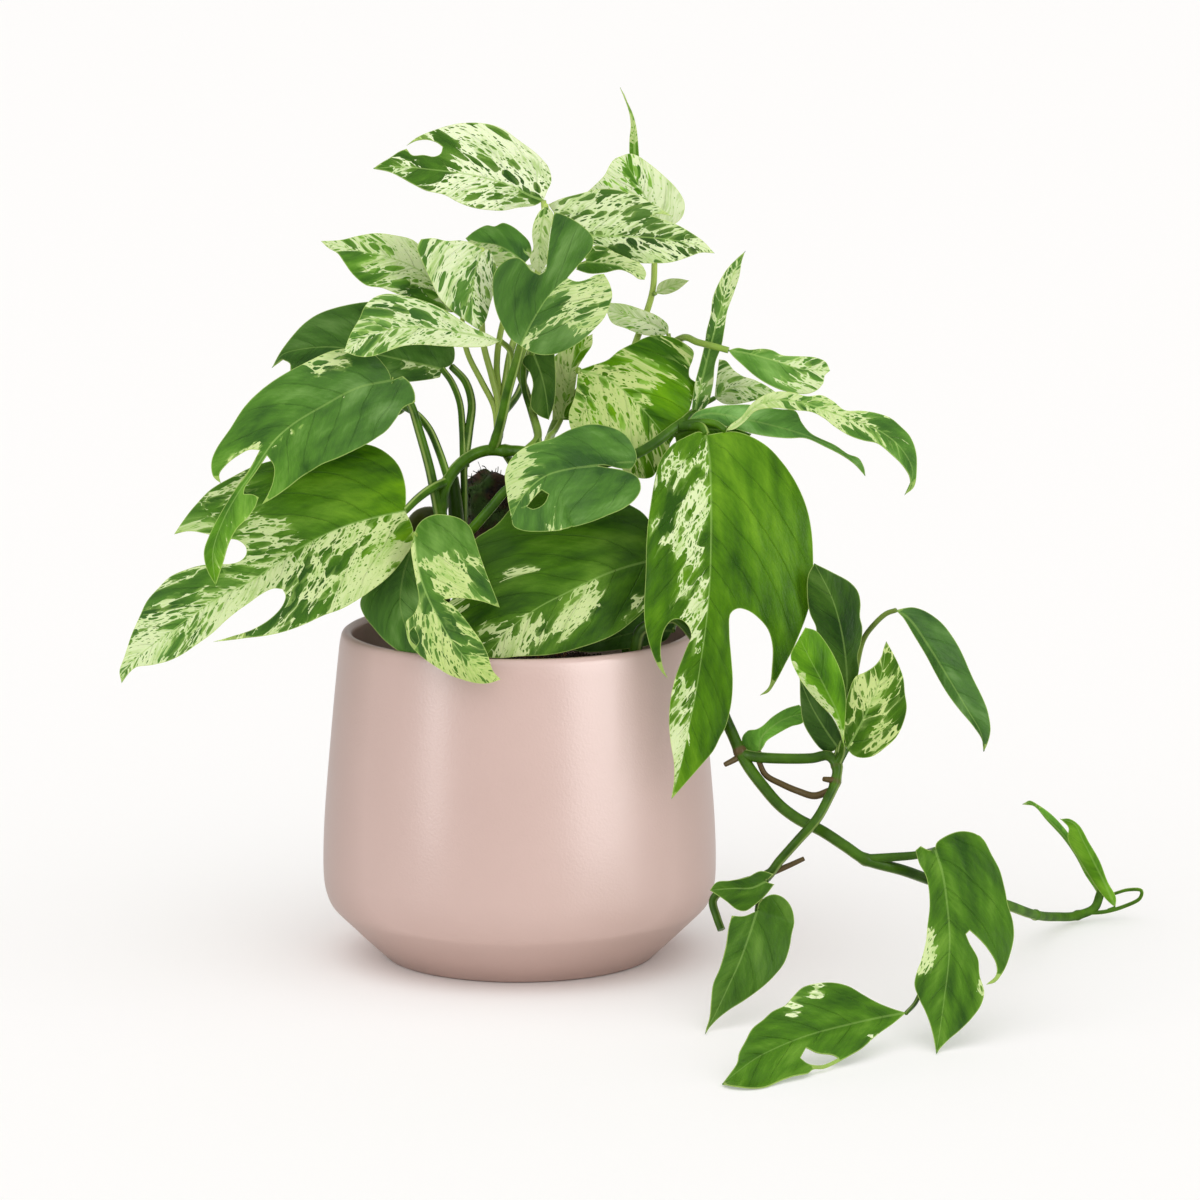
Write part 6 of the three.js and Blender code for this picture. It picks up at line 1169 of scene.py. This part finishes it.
def makePotMaterial(paint):
    material, add, tint = newMaterial('matteGlazedCeramic', paint)
    where = add('TexCoord')['Object']
    cloud, grain = (add('TexNoise', {'Vector': where, 'Scale': scale, 'Detail': detail})['Fac']
                    for scale, detail in ((28.0, 3.0), (900.0, 2.0)))
    away = add('LayerWeight', {'Blend': 0.5})['Facing']
    up = add('SeparateXYZ', {0: where})['Z']
    colour = tint['pink']
    # cloudy lighter pink, then painted shade on the edges that turn away and on the foot
    for share, laid in (({0: cloud, 1: 0.1, 2: 0.9}, 'pinkLight'),
                        ({0: away, 1: 0.4, 2: 1.0, 3: 0.0, 4: paint['edgeShadeShare']}, 'edge'),
                        ({0: up, 1: 0.012, 2: 0.04, 3: paint['footShadeShare'], 4: 0.0}, 'edge')):
        share = add('MapRange', share)[0]
        colour = add('Mix', {0: share, 6: colour, 7: tint[laid]}, data_type='RGBA')[2]
    bump = add('Bump', {'Height': grain, 'Distance': 0.0003, 'Strength': 0.25})[0]
    rough = add('MapRange', {0: cloud, 1: 0.1, 2: 0.9, 3: paint['glossy'], 4: paint['dull']})[0]
    shader = add('BsdfPrincipled', {'Base Color': colour, 'Roughness': rough, 'IOR': 1.5, 'Normal': bump})[0]
    add('OutputMaterial', {'Surface': shader})
    return material


# Turns a profile of [out, up] points in millimetres round the upright axis.
def turned(profile, segments):
    points, rings, faces = [], [], []
    for r, z in profile:
        sides = 1 if r < 1e-6 else segments
        rings.append([len(points) + k for k in range(sides)])
        points += [(r * math.cos(math.tau * k / sides), r * math.sin(math.tau * k / sides), z)
                   for k in range(sides)]
    for low, high in zip(rings[:-1], rings[1:]):
        for k in range(segments):
            j = (k + 1) % segments
            if len(low) == 1:
                faces.append((low[0], high[j], high[k]))
            elif len(high) == 1:
                faces.append((low[k], low[j], high[0]))
            else:
                faces.append((low[k], low[j], high[j], high[k]))
    return np.array(points) / 1000, faces


potProfile = [potShape['runs'][0][0]]
for run in potShape['runs']:
    potProfile += smoothRun(run, potShape['step']).tolist()[1:]
pot = newObject('pot_turned', *turned(potProfile, potShape['segments']), makePotMaterial(potPaint))
finishPiece(pot, 'pot')
print('pot made')

# Potting mix: damp dark peat with bark, coarse and matte.
soilPaint = {'dark': '#1d1510', 'brown': '#3a2a1d', 'bark': '#6a4224'}
# Sizes in millimetres: side is the profile inside the pot up to the shoulder, and the top, a low mound of
# rings, is a little lower at its edge. Crumbs are in metres, as many to a square metre as density says.
soilShape = {'radius': 73.6, 'top': 119.0, 'mound': 1.0, 'edgeDrop': 1.5, 'unevenness': 1.2, 'lumps': 12,
             'lumpWidth': 9, 'topFrom': 117.0, 'segments': 96, 'rings': 34, 'seed': 4,
             'side': [(0, 8.4), (53, 8.4), (66, 17.2), (75.5, 28), (79.2, 40), (78.8, 58), (75.5, 100),
                      (73.6, 116)]}
crumbShape = {'density': 90000.0, 'size': 0.0016, 'seed': 11}
# the least and most that a scattered piece is turned and sized by, and the seed of each
scatterShape = {'turn': ((-3.14, -3.14, -3.14), (3.14, 3.14, 3.14), 3),
                'size': ((0.5, 0.35, 0.3), (1.5, 1.1, 0.8), 5)}


def makeSoilMaterial(paint):
    material, add, tint = newMaterial('dampPottingMix', paint)
    where = add('TexCoord')['Object']
    clod = add('TexNoise', {'Vector': where, 'Scale': 160.0, 'Detail': 6.0, 'Roughness': 0.7})['Fac']
    bark = add('TexVoronoi', {'Vector': where, 'Scale': 220.0})['Color']
    bark = add('SeparateColor', {0: bark})[0]
    colour = tint['dark']
    for share, laid in (({0: clod, 1: 0.35, 2: 0.65}, 'brown'),
                        ({0: bark, 1: 0.8, 2: 0.86, 3: 0.0, 4: 0.7}, 'bark')):
        share = add('MapRange', share)[0]
        colour = add('Mix', {0: share, 6: colour, 7: tint[laid]}, data_type='RGBA')[2]
    bump = add('Bump', {'Height': clod, 'Distance': 0.002, 'Strength': 0.8})[0]
    shader = add('BsdfPrincipled', {'Base Color': colour, 'Roughness': 0.9, 'IOR': 1.4, 'Normal': bump})[0]
    add('OutputMaterial', {'Surface': shader})
    return material


# Scatters small pieces over a surface and joins them to it; drawPiece adds the nodes of one piece.
def makeScatterTree(name, drawPiece):
    tree, add, given = newTree(name, {'Geometry': 'Geometry', 'Density': 'Float', 'Size': 'Float',
                                      'Seed': 'Int', 'Material': 'Material'})
    where = add('GeometryNodeInputNamedAttribute', {0: 'scatter'}, data_type='FLOAT')[0]
    amount = add('ShaderNodeMath', {0: where, 1: given['Density']}, operation='MULTIPLY')[0]
    spots = add('GeometryNodeDistributePointsOnFaces', {0: given['Geometry'], 'Density': amount,
                                                        'Seed': given['Seed']})['Points']
    turn, size = (
        add('FunctionNodeRandomValue', {0: least, 1: most, 'Seed': seed}, data_type='FLOAT_VECTOR')[0]
        for least, most, seed in (scatterShape['turn'], scatterShape['size']))
    pieces = add('GeometryNodeInstanceOnPoints', {'Points': spots, 'Instance': drawPiece(add, given['Size']),
                                                  'Rotation': turn, 'Scale': size})[0]
    whole = add('GeometryNodeJoinGeometry', {0: [pieces, given['Geometry']]})[0]
    whole = add('GeometryNodeRealizeInstances', {0: whole})[0]
    whole = add('GeometryNodeSetMaterial', {0: whole, 'Material': given['Material']})[0]
    add('NodeGroupOutput', {0: whole})
    return tree


# Scatters pieces over a body, as many as its scatter attribute says, and finishes the whole.
def buildScattered(name, node, slot, body, scatter, drawPiece, shape, material):
    setAttribute(body.data, 'scatter', scatter)
    values = {'Density': shape['density'], 'Size': shape['size'], 'Seed': shape['seed'], 'Material': material}
    made = runTree(body, makeScatterTree(slot + 'Scatter', drawPiece), values, name)
    finishPiece(made, node)
    print(slot, 'made:', len(made.data.polygons), 'faces')


def drawCrumb(add, size):
    return add('GeometryNodeMeshIcoSphere', {'Radius': size, 'Subdivisions': 1})['Mesh']


profile = list(soilShape['side'])
for ring in range(soilShape['rings'], -1, -1):
    out = soilShape['radius'] * ring / soilShape['rings']
    rise = soilShape['mound'] * (1 - (out / soilShape['radius']) ** 2)
    drop = soilShape['edgeDrop'] if ring == soilShape['rings'] else 0
    profile.append((out, soilShape['top'] + rise - drop))
points, faces = turned(profile, soilShape['segments'])
waves = np.random.default_rng(soilShape['seed']).normal(0, 1, (soilShape['lumps'], 4))
for point in points:
    if point[2] > soilShape['topFrom'] / 1000:
        x, y = point[:2] * 1000 / soilShape['lumpWidth']
        lump = sum(math.sin(x * a + y * b + c * 3) * d for a, b, c, d in waves) / soilShape['lumps']
        point[2] += soilShape['unevenness'] * lump / 1000
buildScattered('soil_crumbled', 'soil', 'soil', newObject('soil_bed', points, faces),
               points[:, 2] > soilShape['topFrom'] / 1000, drawCrumb, crumbShape, makeSoilMaterial(soilPaint))

# Coir: coarse brown coconut fibre, matted and dry, with patches of moss.
coirPaint = {'dark': '#0e0e05', 'brown': '#42230d', 'moss': '#2f4d0d'}
# The stake in millimetres: bulges are [share of the radius, how many round, how they climb in a metre], and
# above dipFrom the top dips by up to twice dip. A fibre in metres: an arc of that bend, its thickness size.
stakeShape = {'radius': 10.2, 'top': 208.0, 'bottom': 84.0, 'place': (-13, 22), 'segments': 40, 'step': 2.2,
              'bulges': [(0.12, 3, 170), (0.07, 7, -300)], 'dipFrom': 202, 'dip': 3, 'dipTurn': 0.7}
fibreShape = {'density': 110000.0, 'size': 0.00028, 'seed': 23, 'bend': 0.0042, 'sweep': 1.7,
              'middle': (0.0034, 0.0022, 0)}


def makeCoirMaterial(paint):
    material, add, tint = newMaterial('coirFibre', paint)
    where = add('TexCoord')['Object']
    clod = add('TexNoise', {'Vector': where, 'Scale': 260.0, 'Detail': 4.0, 'Roughness': 0.6})['Fac']
    moss = add('TexNoise', {'Vector': where, 'Scale': 70.0, 'Detail': 2.0})['Fac']
    colour = tint['dark']
    for share, laid in (({0: clod, 1: 0.35, 2: 0.65}, 'brown'),
                        ({0: moss, 1: 0.44, 2: 0.56, 3: 0.0, 4: 0.85}, 'moss')):
        share = add('MapRange', share)[0]
        colour = add('Mix', {0: share, 6: colour, 7: tint[laid]}, data_type='RGBA')[2]
    bump = add('Bump', {'Height': clod, 'Distance': 0.001, 'Strength': 0.6})[0]
    shader = add('BsdfPrincipled', {'Base Color': colour, 'Roughness': 0.85, 'IOR': 1.45, 'Normal': bump})[0]
    add('OutputMaterial', {'Surface': shader})
    return material


def drawFibre(add, size):
    line = add('GeometryNodeCurveArc', {'Resolution': 5, 'Radius': fibreShape['bend'],
                                        'Sweep Angle': fibreShape['sweep']}, mode='RADIUS')[0]
    line = add('GeometryNodeTransform', {0: line, 'Translation': tuple(-v for v in fibreShape['middle'])})[0]
    ring = add('GeometryNodeCurvePrimitiveCircle', {'Resolution': 3, 'Radius': size}, mode='RADIUS')[0]
    return add('GeometryNodeCurveToMesh', {'Curve': line, 'Profile Curve': ring, 'Fill Caps': True})[0]


radius, top, bottom = (stakeShape[key] for key in ('radius', 'top', 'bottom'))
profile = [(0, bottom), *((radius, z) for z in np.arange(bottom, top - 2, stakeShape['step'])),
           (radius * 0.9, top - 1), (radius * 0.5, top), (0, top)]
points, faces = turned(profile, stakeShape['segments'])
angle = np.arctan2(points[:, 1], points[:, 0])
swell = 1 + sum(size * np.sin(count * angle + climb * points[:, 2])
                for size, count, climb in stakeShape['bulges'])
dip = stakeShape['dip'] / 1000 * (1 + np.sin(2 * angle + stakeShape['dipTurn']))
points[:, 2] -= np.where(points[:, 2] > stakeShape['dipFrom'] / 1000, dip, 0)
points[:, :2] = points[:, :2] * swell[:, None] + np.array(stakeShape['place']) / 1000
buildScattered('coir_stake_fibres', 'coir_stake', 'coir', newObject('stake_core', points, faces),
               np.ones(len(points)), drawFibre, fibreShape, makeCoirMaterial(coirPaint))

# A pale paper sweep in a pale surround. The plant, the pot and the paper each have a wide soft sky of their
# own, as (strength, place). Upright soft strips on both sides light the leaves and draw the bands of light
# on the pot; leafShade says whether the leaves throw their shade in a strip. Metres and watts.
studio = {'floor': '#fbfaf9', 'floorSize': 60, 'surround': '#fffefd', 'surroundStrength': 0.6,
          'aim': (0, 0, 0.15), 'skyAngle': math.radians(100), 'stripTall': 1.3,
          'skies': {'plant': (1.5, (-0.3, -0.55, 1.4)), 'pot': (1.5, (0.6, -0.6, 1.25)),
                    'paper': (1.57, (-0.3, -0.55, 1.4))},
          'strips': [
              {'on': 'plant', 'place': (-1.05, -0.76, 0.45), 'wide': 0.25, 'power': 7, 'leafShade': True},
              {'on': 'plant', 'place': (0.98, -0.9, 0.45), 'wide': 0.4, 'power': 11, 'leafShade': True},
              {'on': 'pot', 'place': (-1, -0.83, 0.45), 'wide': 0.28, 'power': 11.5, 'leafShade': True},
              {'on': 'pot', 'place': (1.06, -0.86, 0.45), 'wide': 1.04, 'power': 25, 'leafShade': False}]}
floorMaterial, add, tint = newMaterial('palePaperSweep', {'paper': studio['floor']})
shader = add('BsdfPrincipled', {'Base Color': tint['paper'], 'Roughness': 0.9, 'Specular IOR Level': 0.2})[0]
add('OutputMaterial', {'Surface': shader})
s = studio['floorSize']
floor = newObject('floor', [(-s, -s, 0), (s, -s, 0), (s, s, 0), (-s, s, 0)], [(0, 1, 2, 3)], floorMaterial,
                  smooth=False)
world = bpy.data.worlds.new('studioSurround')
bpy.context.scene.world = world
world.use_nodes = True
world.node_tree.nodes['Background'].inputs['Color'].default_value = hexColour(studio['surround'])
world.node_tree.nodes['Background'].inputs['Strength'].default_value = studio['surroundStrength']


# A light that falls on its receivers alone; blockers, where given, are all that throw shade in it.
def addLight(name, kind, place, receivers, blockers, **settings):
    lamp = bpy.data.lights.new(name, kind)
    for key, value in settings.items():
        setattr(lamp, key, value)
    holder = bpy.data.objects.new(name, lamp)
    holder.location = place
    holder.rotation_euler = (Vector(studio['aim']) - Vector(place)).to_track_quat('-Z', 'Y').to_euler()
    bpy.context.scene.collection.objects.link(holder)
    holder.light_linking.receiver_collection = receivers
    holder.light_linking.blocker_collection = blockers
    return holder


# only the pot throws shade on the paper, and the pot's own strips show in its gloss alone
lit = {}
growing = [obj for obj in bpy.context.scene.objects if obj.type == 'MESH' and obj not in (floor, pot)]
for name, pieces in (('plant', growing), ('pot', [pot]), ('paper', [floor])):
    lit[name] = bpy.data.collections.new(name)
    for piece in pieces:
        lit[name].objects.link(piece)
for name, (strength, place) in studio['skies'].items():
    addLight('skylight', 'SUN', place, lit[name], lit['pot'] if name == 'paper' else None,
             energy=strength, angle=studio['skyAngle'])
for strip in studio['strips']:
    blockers = None if strip['leafShade'] else lit['pot']
    holder = addLight('softStrip', 'AREA', strip['place'], lit[strip['on']], blockers, energy=strip['power'],
                      shape='RECTANGLE', size=strip['wide'], size_y=studio['stripTall'])
    holder.visible_diffuse = strip['on'] == 'plant'

camera = bpy.data.cameras.new('camera')
camera.lens = camera.sensor_width * view['distance'] / view['frameWidth']
camera.clip_end = 100
cameraHolder = bpy.data.objects.new('camera', camera)
cameraHolder.location = (view['right'] / 1000, -view['distance'] / 1000 * math.cos(view['pitch']),
                         view['height'] / 1000 + view['distance'] / 1000 * math.sin(view['pitch']))
cameraHolder.rotation_euler = (math.pi / 2 - view['pitch'], 0, 0)
bpy.context.scene.collection.objects.link(cameraHolder)
bpy.context.scene.camera = cameraHolder
bpy.context.scene.view_settings.view_transform = 'Standard'
